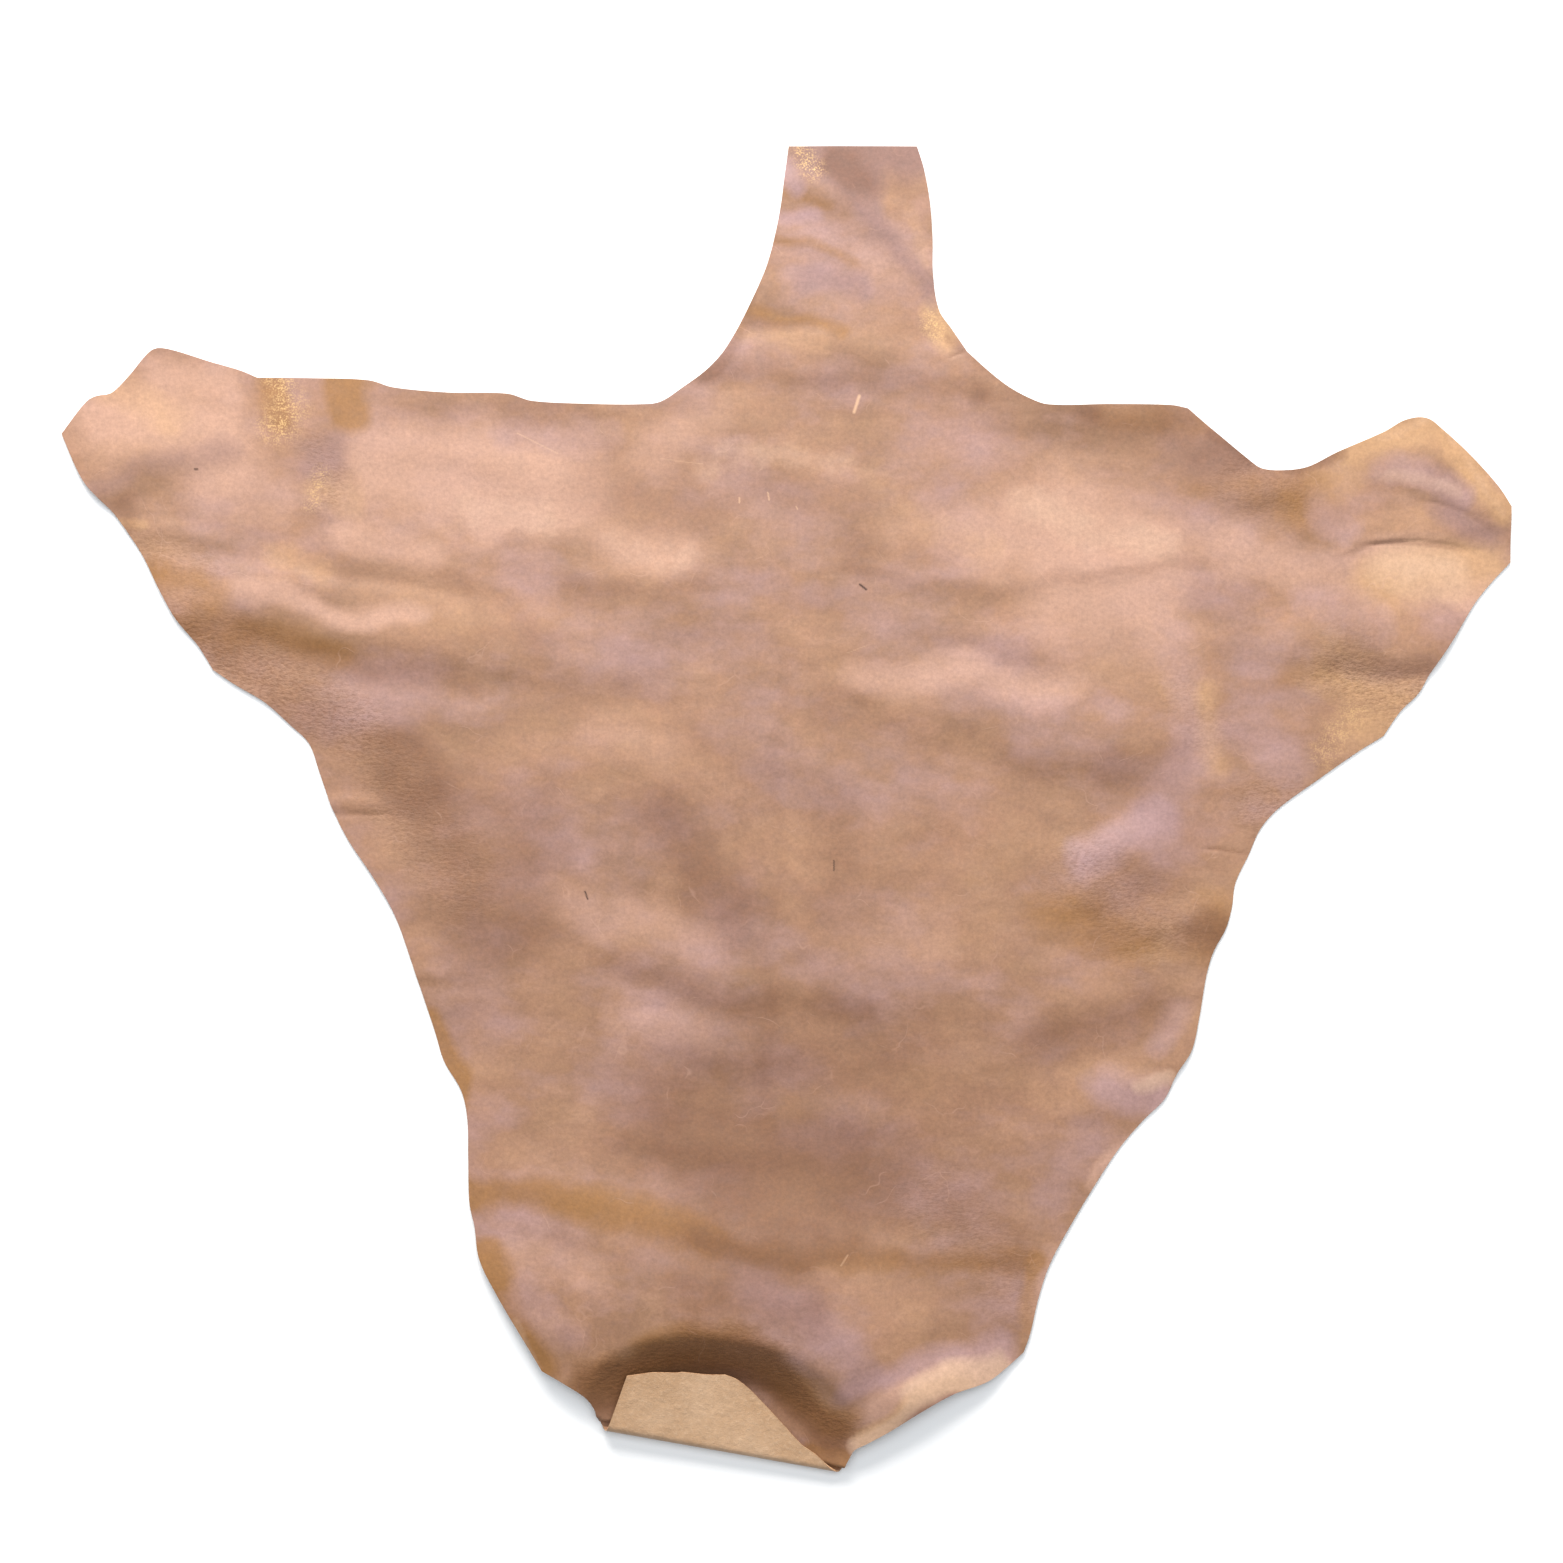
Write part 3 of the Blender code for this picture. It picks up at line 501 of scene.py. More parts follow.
# Where the colour differs, with real stains and pigment and with painted highlights, sheen and shade: a line
# through the middle of each patch, its half width, and how strong it is.
stainsAndPaintedLight = {
    # golden: partly real golden tone, partly painted highlight on slopes that face the lamp: below the right
    # leg's sharp crease and along the bend of the turned-over end
    "goldenAndPaintedHighlight": [
        ([(-524, 322), (-496, 312), (-470, 300)], 18, 0.5),
        ([(440, 286), (500, 292), (532, 262), (560, 236)], 15, 1.0),
        ([(460, 172), (500, 176), (545, 188)], 26, 0.9),
        ([(446, 262), (420, 254)], 18, 0.6),
        ([(420, 110), (470, 84), (450, 60)], 26, 0.7),
        ([(330, 92), (330, 36)], 15, 0.6),
        ([(363, 172), (366, 134)], 11, 0.25),
        ([(112, 392), (126, 366)], 14, 0.9),
        ([(-34, 372), (0, 362), (30, 360)], 10, 0.4),
        ([(66, -480), (98, -457), (140, -444)], 10, 1.0),
        ([(-516, 215), (-486, 210)], 6, 0.7),
        ([(-400, 190), (-360, 186)], 16, 0.4),
        ([(104, 462), (104, 430)], 10, 0.4),
        ([(-370, 250), (-330, 236)], 16, 0.4),
        ([(150, 200), (60, 260)], 20, 0.3),
        ([(0, -230), (60, -236)], 26, 0.3),
    ],
    # ochre: partly real ochre pigment, partly painted shade where the surface turns away from the light: the
    # bands along the curled edges of the blunt end and flanks, and the hollow round the turned-over end
    "ochreAndPaintedShade": [
        ([(364, 96), (390, 106), (420, 112)], 15, 0.4),
        ([(-332, 338), (-332, 294)], 17, 1.4),
        ([(-394, 336), (-390, 306)], 17, 1.0),
        ([(-482, 172), (-440, 160)], 14, 0.8),
        ([(-480, 142), (-420, 134), (-340, 126)], 14, 0.8),
        ([(320, 262), (350, 248), (378, 240), (410, 244)], 30, 0.75),
        ([(250, 306), (310, 300)], 14, 0.6),
        ([(-250, -290), (-180, -300), (-110, -316), (-50, -328)], 17, 0.9),
        ([(-50, -328), (60, -346), (190, -350)], 12, 0.7),
        ([(-240, -345), (-215, -388), (-188, -430)], 16, 1.3),
        ([(-274, -160), (-254, -206), (-248, -300)], 10, 1.1),
        ([(330, -80), (322, -110)], 22, 0.6),
        ([(196, -350), (186, -400)], 9, 0.6),
        ([(-2, 482), (18, 473), (36, 460)], 6, 0.6),
        ([(-12, 434), (18, 428), (46, 414)], 6.5, 0.65),
        ([(-34, 388), (4, 375), (46, 363)], 5.5, 0.8),
        ([(20, 505), (28, 492)], 9, 0.8),
        ([(26, -500), (44, -500)], 12, 1.3),
        ([(-140, -440), (-90, -412), (-20, -424), (40, -466)], 22, 1.0),
        ([(206, -76), (236, -86), (272, -102)], 26, 0.7),
    ],
    # painted sheen: lilac patches where the leather would reflect the cool overhead light
    "paintedLilacSheen": [
        ([(226, -38), (254, -26), (286, -8)], 18, 0.9),
        ([(2, 402), (30, 398), (52, 400)], 12, 0.6),
        ([(4, 500), (12, 482)], 10, 0.9),
        ([(0, 456), (24, 452)], 9, 0.7),
        ([(246, -214), (290, -226)], 16, 0.9),
        ([(304, -156), (290, -184)], 14, 0.6),
        ([(60, -434), (110, -424), (165, -414)], 13, 0.8),
        ([(358, 60), (392, 30)], 24, 0.6),
        ([(-20, -366), (14, -380), (50, -408)], 20, 0.6),
        ([(200, -300), (230, -250)], 20, 0.5),
        ([(300, 130), (312, 70)], 22, 0.5),
        ([(418, 238), (436, 220)], 16, 0.5),
        ([(470, 262), (520, 246)], 16, 0.65),
        ([(404, 158), (458, 148)], 20, 0.45),
        ([(-330, 96), (-290, 76)], 26, 0.5),
        ([(-210, 286), (-140, 290)], 20, 0.5),
        ([(180, 90), (250, 76)], 16, 0.4),
        ([(320, 44), (290, 10)], 20, 0.5),
        ([(-200, -380), (-170, -400)], 22, 0.5),
    ],
    # mauve: partly real mottling, partly painted shade on the dark slope of the left leg and in the fold
    # under the right leg
    "mauveAndPaintedShade": [
        ([(52, 490), (58, 472)], 20, 1.2),
        ([(30, 506), (98, 502)], 26, 1.0),
        ([(-540, 250), (-480, 268), (-436, 284)], 14, 0.45),
        ([(-376, 274), (-350, 268)], 18, 0.7),
        ([(505, 228), (545, 210)], 18, 0.8),
        ([(66, 452), (90, 430), (112, 400)], 11, 0.7),
        ([(300, 280), (350, 262)], 18, 0.5),
        ([(420, 116), (500, 108)], 15, 0.35),
        ([(-200, 140), (-90, 110)], 16, 0.3),
        ([(-130, 330), (-60, 312)], 14, 0.4),
        ([(14, 396), (50, 394)], 12, 0.7),
        ([(60, -420), (54, -440)], 12, 0.5),
    ],
    # umber: partly real dark patches and the faint spine line, partly painted shade: the two wide patches
    # darken the lower middle, and the fold under the right leg, the hollow round the turned-over end and the
    # thin lines along the shoulder edges are painted shade
    "umberAndPaintedShade": [
        ([(-70, 20), (-10, -110), (40, -240)], 125, 0.28),
        ([(326, 290), (366, 264), (404, 262), (436, 278)], 7, 0.8),
        ([(-62, 338), (-44, 358), (-24, 396)], 6, 0.5),
        ([(128, 366), (150, 342), (186, 318)], 6, 0.6),
        ([(-500, 142), (-420, 132), (-320, 112), (-240, 92)], 16, 0.6),
        ([(-420, 100), (-350, 66), (-290, 24)], 28, 0.45),
        ([(-290, 30), (-252, -20), (-226, -90)], 44, 0.6),
        ([(-256, -110), (-240, -170)], 30, 0.2),
        ([(-200, 0), (-184, -60), (-184, -116)], 28, 0.4),
        ([(40, -10), (50, -80)], 30, 0.3),
        ([(-170, -330), (-60, -350), (0, -346)], 20, 0.4),
        ([(-110, -260), (-40, -290), (40, -300)], 50, 0.7),
        ([(-70, -376), (20, -380)], 24, 0.7),
        ([(-60, -210), (160, -200)], 60, 0.35),
        ([(110, -20), (180, -40)], 34, 0.35),
        ([(50, 488), (58, 474)], 18, 0.9),
        ([(60, 502), (92, 490)], 26, 0.45),
        ([(250, 30), (310, -10)], 26, 0.3),
        ([(-230, 150), (-190, 130)], 24, 0.35),
        ([(-96, -10), (-76, -40), (-44, -74)], 26, 0.5),
        ([(30, 76), (110, 56), (200, 36), (300, 30)], 18, 0.35),
        ([(276, -60), (250, -76)], 30, 0.5),
        ([(-70, 344), (0, 342), (60, 336), (150, 322)], 13, 0.5),
        ([(150, 314), (240, 306)], 8, 0.4),
        ([(240, 300), (300, 300), (350, 268)], 18, 0.6),
        ([(-230, 318), (-120, 308)], 9, 0.4),
        ([(-150, 250), (-80, 240), (-60, 228)], 26, 0.45),
        ([(-10, 244), (50, 230), (60, 200)], 28, 0.4),
        ([(-170, 164), (-60, 166)], 14, 0.35),
        ([(30, 176), (150, 170), (250, 176), (320, 190)], 8, 0.4),
        ([(-140, -118), (-60, -140), (60, -152)], 13, 0.3),
        ([(208, -178), (250, -168), (284, -154)], 24, 0.6),
        ([(320, -96), (336, -104)], 20, 0.9),
        ([(-60, -330), (180, -352)], 10, 0.35),
        ([(100, -290), (170, -330)], 30, 0.4),
        ([(-140, -446), (-90, -424), (-20, -430), (34, -472)], 24, 1.3),
        ([(4, 170), (-6, 60), (-12, -90), (-18, -240), (-10, -330)], 8, 0.14),
        ([(-330, 204), (-250, 178)], 9, 0.3),
        ([(-510, 232), (-500, 214)], 14, 0.6),
        ([(400, 120), (450, 118), (500, 104)], 14, 0.4),
        ([(-24, 378), (20, 366)], 6, 0.5),
    ],
    # painted highlights: the sides of ridges that face the lamp, and a broad lighter band across the upper
    # back
    "light": [
        ([(-300, 256), (-120, 236), (100, 230), (260, 230)], 70, 0.26),
        ([(345, 205), (400, 188), (440, 186)], 26, 0.8),
        ([(-480, 338), (-430, 330)], 14, 0.6),
        ([(-444, 250), (-400, 236)], 28, 0.6),
        ([(516, 172), (540, 152)], 14, 0.8),
        ([(-455, 112), (-400, 88)], 10, 0.6),
        ([(206, -342), (190, -400)], 12, 0.7),
        ([(-440, 290), (-490, 300), (-530, 300)], 34, 0.9),
        ([(-300, 262), (-240, 262), (-170, 246)], 38, 0.8),
        ([(-230, 226), (-180, 232)], 20, 0.7),
        ([(-130, 200), (-80, 192)], 20, 0.6),
        ([(-340, 212), (-280, 200)], 14, 0.6),
        ([(160, 210), (230, 222), (290, 200)], 34, 0.7),
        ([(60, 100), (130, 106), (215, 98)], 19, 0.8),
        ([(-470, 162), (-420, 162), (-350, 158), (-280, 146)], 10, 0.9),
        ([(-150, 56), (-100, 44)], 28, 0.4),
        ([(-180, -70), (-120, -90), (-60, -100)], 20, 0.5),
        ([(50, -90), (110, -104)], 30, 0.4),
        ([(-130, -160), (-60, -176)], 16, 0.5),
        ([(-60, 306), (-100, 280)], 22, 0.5),
        ([(250, -204), (292, -212)], 10, 0.6),
        ([(60, 418), (104, 430)], 18, 0.5),
        ([(76, -456), (120, -440), (164, -426)], 16, 1.3),
        ([(292, -226), (258, -262), (238, -290)], 9, 0.8),
        ([(470, 186), (530, 180)], 24, 1.0),
        ([(476, 254), (520, 244)], 9, 0.8),
        ([(-210, -350), (-150, -356)], 22, 0.4),
        ([(220, 160), (284, 140)], 40, 0.8),
    ],
    # painted highlights: narrow pale lines along ridge crests and raised edges
    "paintedBuffHighlight": [
        ([(60, -487), (100, -462), (130, -448), (172, -430)], 9, 1.1),
        ([(92, -448), (130, -434), (160, -424)], 10, 0.9),
        ([(-205, -398), (-190, -428)], 6, 0.5),
        ([(460, 289), (498, 300), (530, 268), (558, 234)], 7, 0.3),
        ([(466, 256), (512, 250)], 8, 0.4),
        ([(466, 182), (510, 172)], 20, 0.6),
        ([(296, -212), (270, -214)], 7, 0.7),
        ([(-60, 262), (40, 276)], 16, 0.3),
        ([(-130, 208), (-76, 190)], 20, 0.25),
        ([(-250, 236), (-180, 220)], 20, 0.3),
        ([(180, 232), (290, 200)], 20, 0.4),
    ],
    "crackle": [
        ([(-470, 130), (-400, 106), (-340, 66)], 32, 1.0),
        ([(-310, 20), (-250, -50)], 34, 0.7),
        ([(430, 110), (476, 84)], 30, 1.0),
        ([(230, -50), (290, -90)], 36, 0.7),
        ([(356, 4), (392, 4)], 22, 0.8),
        ([(350, 248), (396, 240)], 24, 0.6),
        ([(-140, -436), (-80, -412), (0, -426), (44, -466)], 20, 0.9),
        ([(110, -300), (180, -370)], 34, 0.5),
        ([(-370, 276), (-350, 246)], 18, 0.6),
        ([(300, 90), (330, 60)], 26, 0.4),
        ([(-500, 196), (-450, 180)], 18, 0.5),
    ],
    "gold": [
        ([(-384, 334), (-380, 314), (-394, 298)], 16, 1.2),
        ([(18, 509), (30, 492)], 9, 1.3),
        ([(108, 385), (118, 374)], 9, 1.1),
        ([(-366, 256), (-368, 242)], 9, 0.8),
        ([(440, 70), (420, 44)], 12, 0.6),
    ],
}


def markField(points):
    total = np.zeros(len(points))
    for _, x0, y0, x1, y1, halfWidth, amount in marks:
        across, _ = alongLine(points, [(x0 * mm, y0 * mm), (x1 * mm, y1 * mm)])
        total += amount * (1.0 - smoothStep(np.abs(across) / (halfWidth * mm)))
    return total


def addLayer(mesh, name, values):
    layer = mesh.attributes.new(name, "FLOAT", "POINT")
    layer.data.foreach_set("value", values.astype(np.float32))


# the flat cut as a mesh, with the colour patches on it (stains and painted light and shade), laid out and
# turned over, then given its thickness
def buildHide(materials):
    outline, points = sheetPoints()
    count = len(outline)
    coords = [Vector(point) for point in points]
    flat, _, faces, _, _, _ = delaunay_2d_cdt(coords, [], [list(range(count))], 1, 1e-7)
    flat = np.array([tuple(point) for point in flat])
    mesh = bpy.data.meshes.new("leather hide")
    mesh.from_pydata(laid(flat).tolist(), [], faces)
    uv = mesh.uv_layers.new(name="flat cut")
    corners = np.empty(len(mesh.loops), np.int32)
    mesh.loops.foreach_get("vertex_index", corners)
    uv.data.foreach_set("uv", flat[corners].astype(np.float32).ravel())
    moved = wandered(flat, 1.0)
    for name, rows in stainsAndPaintedLight.items():
        addLayer(mesh, name, patchField(moved, rows))
    addLayer(mesh, "mark", markField(flat))
    addLayer(mesh, "crease", creaseField(flat))
    mesh.shade_smooth()
    for material in materials:
        mesh.materials.append(material)
    draft = bpy.data.objects.new("draft", mesh)
    bpy.context.scene.collection.objects.link(draft)
    solidify = draft.modifiers.new("thickness", "SOLIDIFY")
    solidify.thickness = sheet["thickness"]
    solidify.offset = 1.0
    solidify.material_offset = 1
    solidify.material_offset_rim = 2
    solid = bpy.data.meshes.new_from_object(draft.evaluated_get(bpy.context.evaluated_depsgraph_get()))
    solid.name = "leather hide"
    bpy.data.objects.remove(draft, do_unlink=True)
    sharpenRim(solid)
    hide = bpy.data.objects.new("hide", solid)
    bpy.context.scene.collection.objects.link(hide)
    return hide, meshArea(mesh, flat)


def sharpenRim(mesh):
    bm = bmesh.new()
    bm.from_mesh(mesh)
    for edge in bm.edges:
        if len({face.material_index for face in edge.link_faces}) > 1:
            edge.smooth = False
    bm.to_mesh(mesh)
    bm.free()


def meshArea(mesh, flat):
    x, y = flat[:, 0], flat[:, 1]
    total = 0.0
    for face in mesh.polygons:
        a, b, c = face.vertices
        total += abs((x[b] - x[a]) * (y[c] - y[a]) - (x[c] - x[a]) * (y[b] - y[a])) / 2
    return float(total)


def tone(red, green, blue):
    values = [v / 255 for v in (red, green, blue)]
    return [v / 12.92 if v <= 0.04045 else ((v + 0.055) / 1.055) ** 2.4 for v in values] + [1.0]


def setInputs(node, inputs, tree):
    for key, value in inputs.items():
        if isinstance(value, bpy.types.NodeSocket):
            tree.links.new(value, node.inputs[key])
        else:
            node.inputs[key].default_value = value


def addNode(tree, kind, inputs, **settings):
    node = tree.nodes.new("ShaderNode" + kind)
    for key, value in settings.items():
        setattr(node, key, value)
    setInputs(node, inputs, tree)
    return node


def newMaterial(name):
    material = bpy.data.materials.new(name)
    material.use_nodes = True
    return material, material.node_tree, material.node_tree.nodes["Principled BSDF"]


def flatCut(tree, scale=(1.0, 1.0), turn=0.0):
    place = addNode(tree, "UVMap", {}, uv_map="flat cut").outputs["UV"]
    mapping = addNode(tree, "Mapping", {"Vector": place, "Scale": (*scale, 1.0), "Rotation": (0, 0, turn)})
    return mapping.outputs["Vector"]


def noiseOf(tree, vector, scale, detail, roughness):
    inputs = {"Vector": vector, "Scale": scale, "Detail": detail, "Roughness": roughness}
    return addNode(tree, "TexNoise", inputs).outputs["Fac"]


# a noise that is longer one way than the other
def stretchedNoise(tree, scale, turn, detail, roughness):
    return noiseOf(tree, flatCut(tree, scale, turn), 1.0, detail, roughness)


def ranged(tree, value, low, high, start=0.0, end=1.0):
    inputs = {"Value": value, "From Min": low, "From Max": high, "To Min": start, "To Max": end}
    return addNode(tree, "MapRange", inputs).outputs["Result"]


def calc(tree, operation, a, b=0.0):
    return addNode(tree, "Math", {0: a, 1: b}, operation=operation).outputs[0]


def mixed(tree, share, a, b, blend="MIX"):
    return addNode(tree, "Mix", {0: share, 6: a, 7: b}, data_type="RGBA", blend_type=blend).outputs[2]


def layer(tree, name):
    return addNode(tree, "Attribute", {}, attribute_name=name).outputs["Fac"]


waver = {"scale": 14.0, "detail": 3.0, "amount": 0.09}


def wavered(tree, vector):
    inputs = {"Vector": vector, "Scale": waver["scale"], "Detail": waver["detail"]}
    drift = addNode(tree, "TexNoise", inputs).outputs["Color"]
    shift = addNode(tree, "VectorMath", {0: drift, "Scale": waver["amount"]}, operation="SCALE").outputs[0]
    return addNode(tree, "VectorMath", {0: vector, 1: shift}, operation="ADD").outputs[0]


def bumped(tree, height, strength, distance, normal=None):
    inputs = {"Height": height, "Strength": strength, "Distance": distance}
    if normal is not None:
        inputs["Normal"] = normal
    return addNode(tree, "Bump", inputs).outputs["Normal"]


grain = {
    "dark": tone(134, 98, 74),
    "pale": tone(152, 112, 87),
    # light: painted highlight in the light patches and streaks, and the colour of the fine pale lines
    "light": tone(180, 140, 120),
    # golden: golden clouds, and painted highlight on lit slopes
    "goldenAndPaintedHighlight": tone(178, 137, 97),
    # ochre: pigment, and painted shade where no sheen falls
    "ochreAndPaintedShade": tone(138, 94, 42),
    # buff: painted highlight on crests
    "paintedBuffHighlight": tone(197, 162, 136),
    # lilac: painted sheen, the cool reflection of the overhead lamp
    "paintedLilacSheen": tone(158, 126, 127),
    # mauve: mottling, and painted shade on slopes that face away from the lamp
    "mauveAndPaintedShade": tone(132, 100, 94),
    # umber: dark patches, and painted shade in folds, creases and crumples
    "umberAndPaintedShade": tone(104, 65, 40),
    "gold": tone(206, 166, 112),
    "scratch": tone(214, 172, 136),
    "nick": tone(60, 34, 20),
    "roughness": 0.58,
    "unevenGloss": (-0.06, 0.07),  # from the smoothest to the roughest spots
    "gloss": 0.42,
    "bump": 0.5,
    "streaky": 0.3,  # how much of the light streaks (painted sheen), golden clouds and lilac clouds (painted sheen) shows
    "goldenClouds": 0.26,
    "paintedLilacSheenClouds": 0.55,
    "mottling": (0.91, 1.08),  # from the darkest to the palest, coarse then fine
    "specks": (0.87, 1.12),
    "rubbed": 0.7,  # how ragged a patch's edge is
    "patchEdge": (0.16, 0.85),  # and the strengths where it starts and is full
    "paintedCrumpleShade": 0.35,  # painted shade: dark in the crumples and in sharp creases
    "paintedCreaseShade": 0.45,
    "threadScale": 17.0,  # cells a metre between the fine pale lines
    "threadWidth": 0.012,
    "threads": 0.26,
    "flakes": 0.75,
    "flakeSizes": (0.6, 0.4),  # how much the small and the wide flakes count
    "pores": 520.0,  # a metre
    "poreDepth": 0.4 * mm,
    "mottleDepth": 1.0 * mm,
    "crumpleDepth": 1.6 * mm,
    "poreShare": 0.3,  # of the bump, and of the mottling's and the streaks'
    "mottleShare": 0.25,
}

# how many a metre, detail and roughness
grainNoise = {
    "clouds": (11.0, 5.0, 0.6),
    "mottle": (85.0, 6.0, 0.68),
    "specks": (300.0, 4.0, 0.7),
    "patchEdges": (34.0, 6.0, 0.68),
    "threadPlaces": (36.0, 3.0, 0.5),
    "smallFlakes": (760.0, 2.0, 0.5),
    "wideFlakes": (150.0, 4.0, 0.6),
}

# how many a metre along and across, slant, detail and roughness
grainStretched = {
    "warm": ((8.0, 13.0), 0.1, 4.0, 0.6),
    "streaks": ((16.0, 36.0), 0.14, 6.0, 0.66),
    "crumples": ((250.0, 410.0), 0.14, 3.0, 0.55),
}


# one colour patch over another, pigment or painted light and shade, its edge broken up so that it looks
# rubbed in by hand
def overlaid(tree, color, name, broken, most):
    edge = calc(tree, "ADD", layer(tree, name), broken)
    share = ranged(tree, edge, *grain["patchEdge"], 0.0, most)
    return mixed(tree, share, color, grain[name])


# how much of each patch colour, pigment or painted light and shade, shows where it is laid strongest, in the
# order they are laid
shares = {
    "light": 0.7,
    "goldenAndPaintedHighlight": 0.75,
    "ochreAndPaintedShade": 0.7,
    "paintedLilacSheen": 0.68,
    "mauveAndPaintedShade": 0.8,
    "umberAndPaintedShade": 0.62,
    "paintedBuffHighlight": 0.7,
}


def grainMaterial():
    material, tree, shader = newMaterial("leather, grain side")
    place = flatCut(tree)
    clouds = ranged(tree, noiseOf(tree, place, *grainNoise["clouds"]), 0.34, 0.66)
    warm = stretchedNoise(tree, *grainStretched["warm"])
    streaks = stretchedNoise(tree, *grainStretched["streaks"])
    mottle = noiseOf(tree, place, *grainNoise["mottle"])
    specks = noiseOf(tree, place, *grainNoise["specks"])
    centred = calc(tree, "SUBTRACT", noiseOf(tree, place, *grainNoise["patchEdges"]), 0.5)
    broken = calc(tree, "MULTIPLY", centred, grain["rubbed"])
    color = mixed(tree, clouds, grain["dark"], grain["pale"])
    # painted sheen: light streaks
    color = mixed(tree, ranged(tree, streaks, 0.5, 0.75, 0.0, grain["streaky"]), color, grain["light"])
    color = mixed(tree, ranged(tree, warm, 0.52, 0.68, 0.0, grain["goldenClouds"]), color, grain["goldenAndPaintedHighlight"])
    # painted sheen: lilac clouds scattered over the grain
    color = mixed(tree, ranged(tree, warm, 0.52, 0.32, 0.0, grain["paintedLilacSheenClouds"]), color, grain["paintedLilacSheen"])
    for name, most in shares.items():
        color = overlaid(tree, color, name, broken, most)
    shade = ranged(tree, mottle, 0.3, 0.7, *grain["mottling"])
    fine = ranged(tree, specks, 0.3, 0.7, *grain["specks"])
    color = mixed(tree, 1.0, color, calc(tree, "MULTIPLY", shade, fine), "MULTIPLY")
    crumples = stretchedNoise(tree, *grainStretched["crumples"])
    # painted shade in the crumples' lines, then in the sharp creases
    crumpleShadeLine = ranged(tree, crumples, 0.38, 0.50, 1.0, 0.0)
    crumpleShadeMask = calc(tree, "MULTIPLY", crumpleShadeLine, layer(tree, "crackle"))
    color = mixed(tree, calc(tree, "MULTIPLY", crumpleShadeMask, grain["paintedCrumpleShade"]), color, grain["umberAndPaintedShade"])
    creaseShade = ranged(tree, layer(tree, "crease"), 0.1, 1.2, 0.0, grain["paintedCreaseShade"])
    color = mixed(tree, creaseShade, color, grain["umberAndPaintedShade"])
    cells = {"Vector": wavered(tree, place), "Scale": grain["threadScale"]}
    lines = addNode(tree, "TexVoronoi", cells, feature="DISTANCE_TO_EDGE").outputs["Distance"]
    thread = ranged(tree, lines, grain["threadWidth"], 0.0)
    threadNoise = noiseOf(tree, place, *grainNoise["threadPlaces"])
    threadPlaces = ranged(tree, threadNoise, 0.54, 0.66, 0.0, grain["threads"])
    threadMask = calc(tree, "MULTIPLY", thread, threadPlaces)
    color = mixed(tree, threadMask, color, grain["light"])
    small, wide = grain["flakeSizes"]
    smallFlakes = calc(tree, "MULTIPLY", noiseOf(tree, place, *grainNoise["smallFlakes"]), small)
    wideFlakes = calc(tree, "MULTIPLY", noiseOf(tree, place, *grainNoise["wideFlakes"]), wide)
    flakes = ranged(tree, calc(tree, "ADD", smallFlakes, wideFlakes), 0.48, 0.62, 0.0, grain["flakes"])
    color = mixed(tree, calc(tree, "MULTIPLY", flakes, layer(tree, "gold")), color, grain["gold"])
    mark = layer(tree, "mark")
    color = mixed(tree, ranged(tree, mark, 0.1, 1.0), color, grain["scratch"])
    color = mixed(tree, ranged(tree, mark, -0.1, -0.8), color, grain["nick"])
    smoothest, roughest = [grain["roughness"] + change for change in grain["unevenGloss"]]
    rough = ranged(tree, mottle, 0.3, 0.7, smoothest, roughest)
    pores = {"Vector": place, "Scale": grain["pores"]}
    pebbles = addNode(tree, "TexVoronoi", pores, feature="SMOOTH_F1").outputs["Distance"]
    normal = bumped(tree, pebbles, grain["bump"] * grain["poreShare"], grain["poreDepth"])
    normal = bumped(tree, mottle, grain["bump"] * grain["mottleShare"], grain["mottleDepth"], normal)
    normal = bumped(tree, streaks, grain["bump"] * grain["mottleShare"], grain["mottleDepth"], normal)
    crumpled = calc(tree, "MULTIPLY", crumples, layer(tree, "crackle"))
    normal = bumped(tree, crumpled, grain["bump"], grain["crumpleDepth"], normal)
    normal = bumped(tree, threadMask, grain["bump"], grain["poreDepth"], normal)
    setInputs(shader, {"Base Color": color, "Roughness": rough, "Normal": normal}, tree)
    setInputs(shader, {"Specular IOR Level": grain["gloss"]}, tree)
    return material


flesh = {
    "pale": tone(186, 152, 120),
    "dark": tone(166, 128, 92),
    "fibre": tone(202, 172, 142),
    "roughness": 0.95,
    "bump": 0.6,
    "fibres": 0.5,
    "napping": (0.90, 1.08),  # from the darkest to the palest
    "napDepth": 1.6 * mm,
    "fibreDepth": 0.6 * mm,
    "gloss": 0.25,
    "sheen": 0.25,
    "sheenRoughness": 0.6,
}


fleshNoise = {"clouds": (16.0, 5.0, 0.6), "fibres": (330.0, 6.0, 0.75), "nap": (110.0, 5.0, 0.7)}


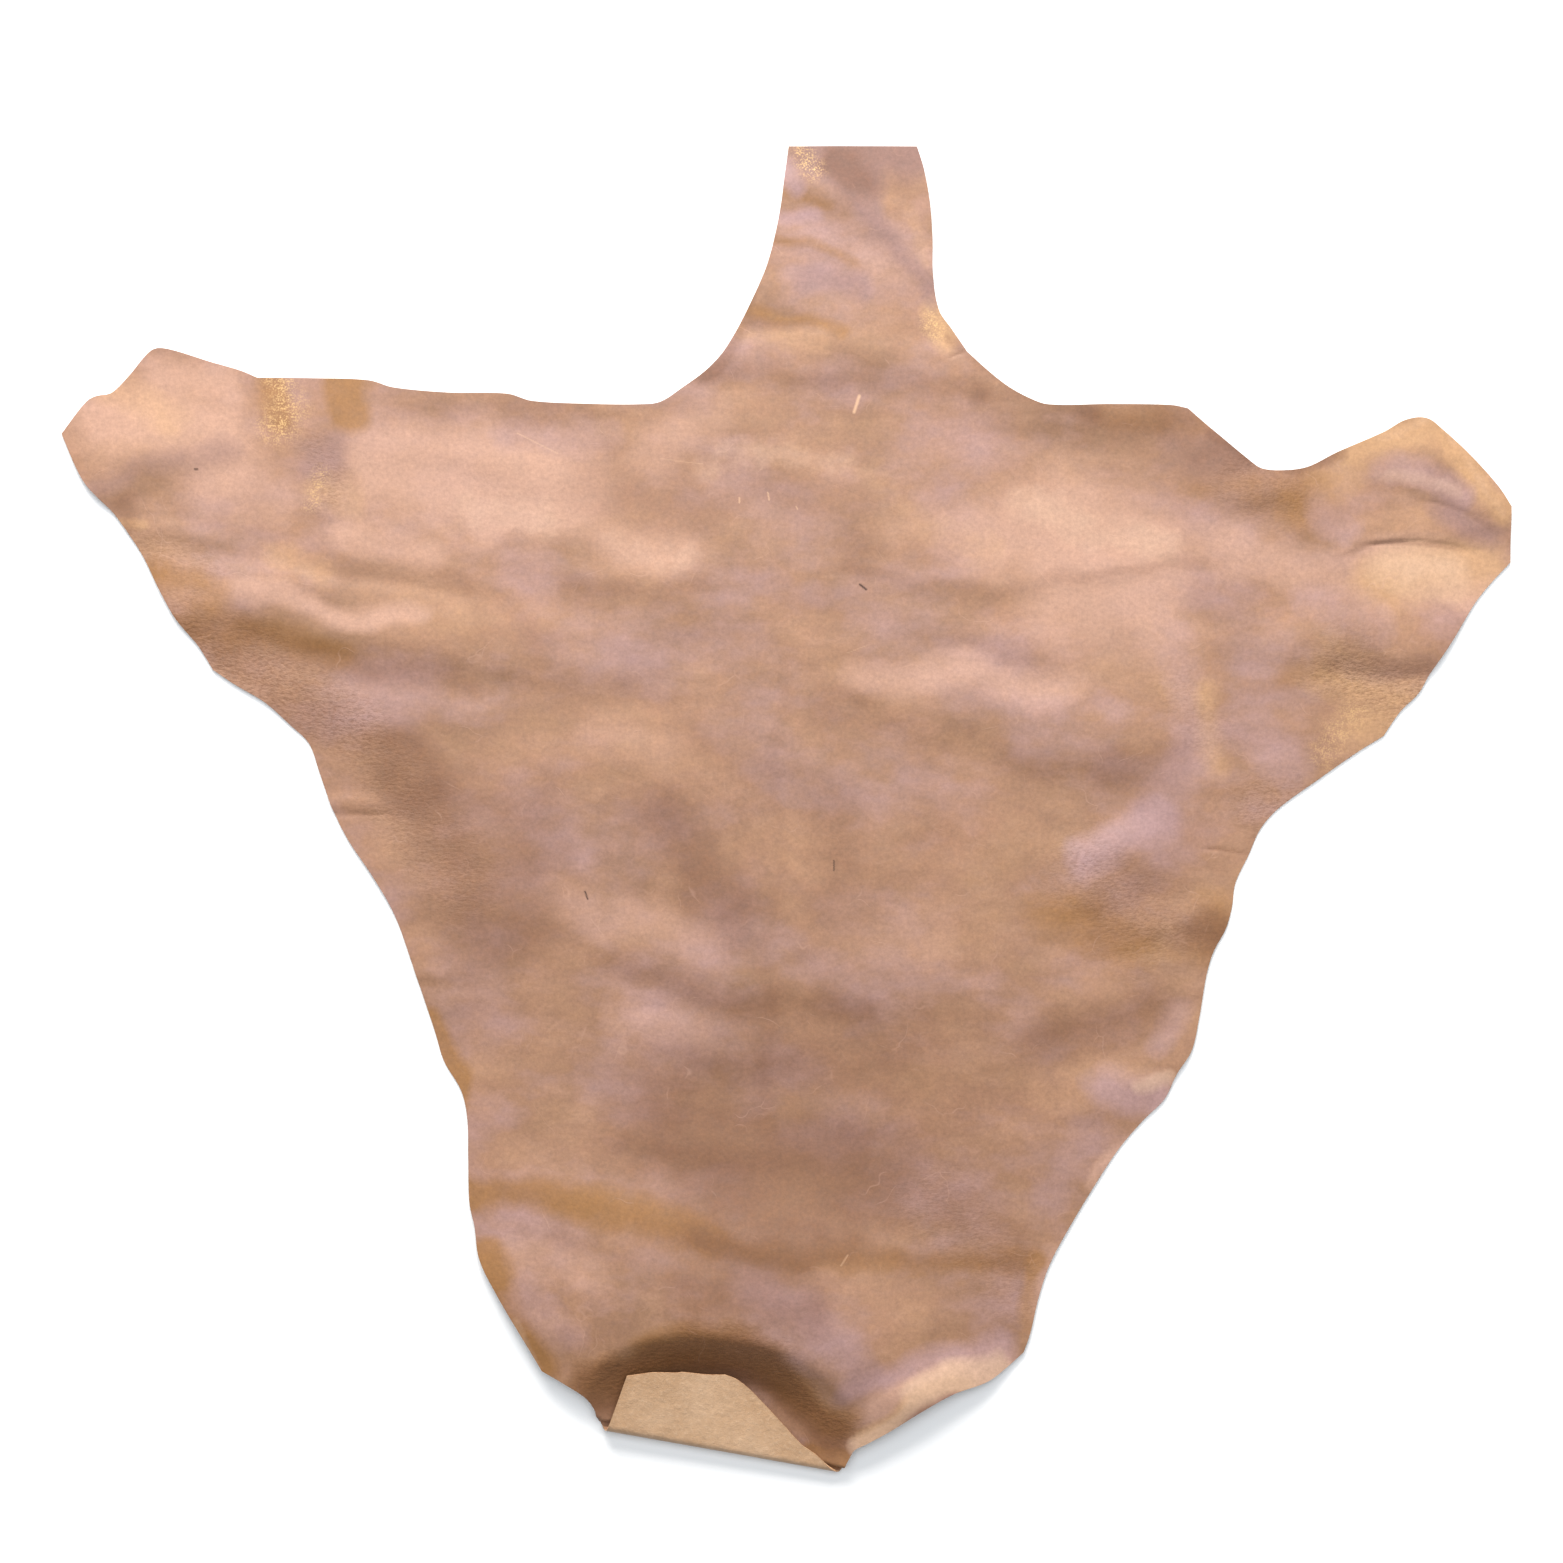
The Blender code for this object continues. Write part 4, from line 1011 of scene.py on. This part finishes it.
def fleshMaterial():
    material, tree, shader = newMaterial("leather, flesh side")
    place = flatCut(tree)
    clouds = ranged(tree, noiseOf(tree, place, *fleshNoise["clouds"]), 0.32, 0.68)
    fibres = noiseOf(tree, place, *fleshNoise["fibres"])
    nap = noiseOf(tree, place, *fleshNoise["nap"])
    color = mixed(tree, clouds, flesh["dark"], flesh["pale"])
    color = mixed(tree, ranged(tree, fibres, 0.5, 0.7, 0.0, flesh["fibres"]), color, flesh["fibre"])
    color = mixed(tree, 1.0, color, ranged(tree, nap, 0.3, 0.7, *flesh["napping"]), "MULTIPLY")
    normal = bumped(tree, nap, flesh["bump"], flesh["napDepth"])
    normal = bumped(tree, fibres, flesh["bump"], flesh["fibreDepth"], normal)
    setInputs(shader, {"Base Color": color, "Roughness": flesh["roughness"], "Normal": normal}, tree)
    setInputs(shader, {"Specular IOR Level": flesh["gloss"], "Sheen Weight": flesh["sheen"]}, tree)
    setInputs(shader, {"Sheen Roughness": flesh["sheenRoughness"]}, tree)
    return material


cutEdge = {
    "pale": tone(214, 172, 132),
    "dark": tone(150, 104, 70),
    "roughness": 0.85,
    "fibres": (240.0, 4.0, 0.65),
}


def cutEdgeMaterial():
    material, tree, shader = newMaterial("leather, cut edge")
    fibres = noiseOf(tree, flatCut(tree), *cutEdge["fibres"])
    color = mixed(tree, ranged(tree, fibres, 0.35, 0.65), cutEdge["dark"], cutEdge["pale"])
    setInputs(shader, {"Base Color": color, "Roughness": cutEdge["roughness"]}, tree)
    return material


hide, flatArea = buildHide([grainMaterial(), fleshMaterial(), cutEdgeMaterial()])
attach(hide, "root")
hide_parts("leather_hide")
print(f"hide: {len(hide.data.polygons)} faces, {flatArea:.3f} square metres of leather")


floor = {"size": 12.0, "color": (0.86, 0.86, 0.86, 1.0), "roughness": 0.9}


def buildFloor():
    half = floor["size"] / 2
    mesh = bpy.data.meshes.new("floor")
    corners = [(-half, -half, 0), (half, -half, 0), (half, half, 0), (-half, half, 0)]
    mesh.from_pydata(corners, [], [(0, 1, 2, 3)])
    material, tree, shader = newMaterial("floor")
    setInputs(shader, {"Base Color": floor["color"], "Roughness": floor["roughness"]}, tree)
    mesh.materials.append(material)
    plane = bpy.data.objects.new("Floor", mesh)
    bpy.context.scene.collection.objects.link(plane)
    return plane


ground = buildFloor()
print("floor laid")


# A warm lamp low beyond the neck brings out the folds, and a broad cool one overhead fills them.
lamps = {
    "key": {
        "spot": (-0.4, 3.2, 1.95), "aim": (0, 0, 0), "size": (2.4, 1.3),
        "power": 238.0, "color": (1.0, 0.97, 0.93),
    },
    "window": {
        "spot": (0, 0.9, 3.2), "aim": (0, 0, 0), "size": (3.6, 2.4),
        "power": 106.0, "color": (0.9, 0.95, 1.0),
    },
}
sky = {"color": (1.0, 0.99, 0.98, 1.0), "strength": 0.24}


def aimed(thing, spot, aim):
    thing.location = spot
    thing.rotation_euler = (Vector(aim) - Vector(spot)).to_track_quat("-Z", "Y").to_euler()


def buildLamps():
    for name, lamp in lamps.items():
        data = bpy.data.lights.new(name, "AREA")
        data.shape = "RECTANGLE"
        data.size, data.size_y = lamp["size"]
        data.energy = lamp["power"]
        data.color = lamp["color"]
        light = bpy.data.objects.new(name, data)
        bpy.context.scene.collection.objects.link(light)
        aimed(light, lamp["spot"], lamp["aim"])
    world = bpy.data.worlds.new("sky")
    world.use_nodes = True
    background = world.node_tree.nodes["Background"]
    setInputs(background, {"Color": sky["color"], "Strength": sky["strength"]}, world.node_tree)
    bpy.context.scene.world = world


buildLamps()
print("lamps hung")

# straight above, taking in a little more than the hide
camera = {"spot": (-0.0035, 0.0209, 1.677), "lens": 50.0, "sensor": 36.0}


def buildCamera():
    data = bpy.data.cameras.new("camera")
    data.lens = camera["lens"]
    data.sensor_width = camera["sensor"]
    view = bpy.data.objects.new("camera", data)
    bpy.context.scene.collection.objects.link(view)
    view.location = camera["spot"]
    bpy.context.scene.camera = view


buildCamera()
bpy.context.scene.view_settings.view_transform = "Standard"
bpy.context.scene.view_settings.look = "None"
print("camera set")
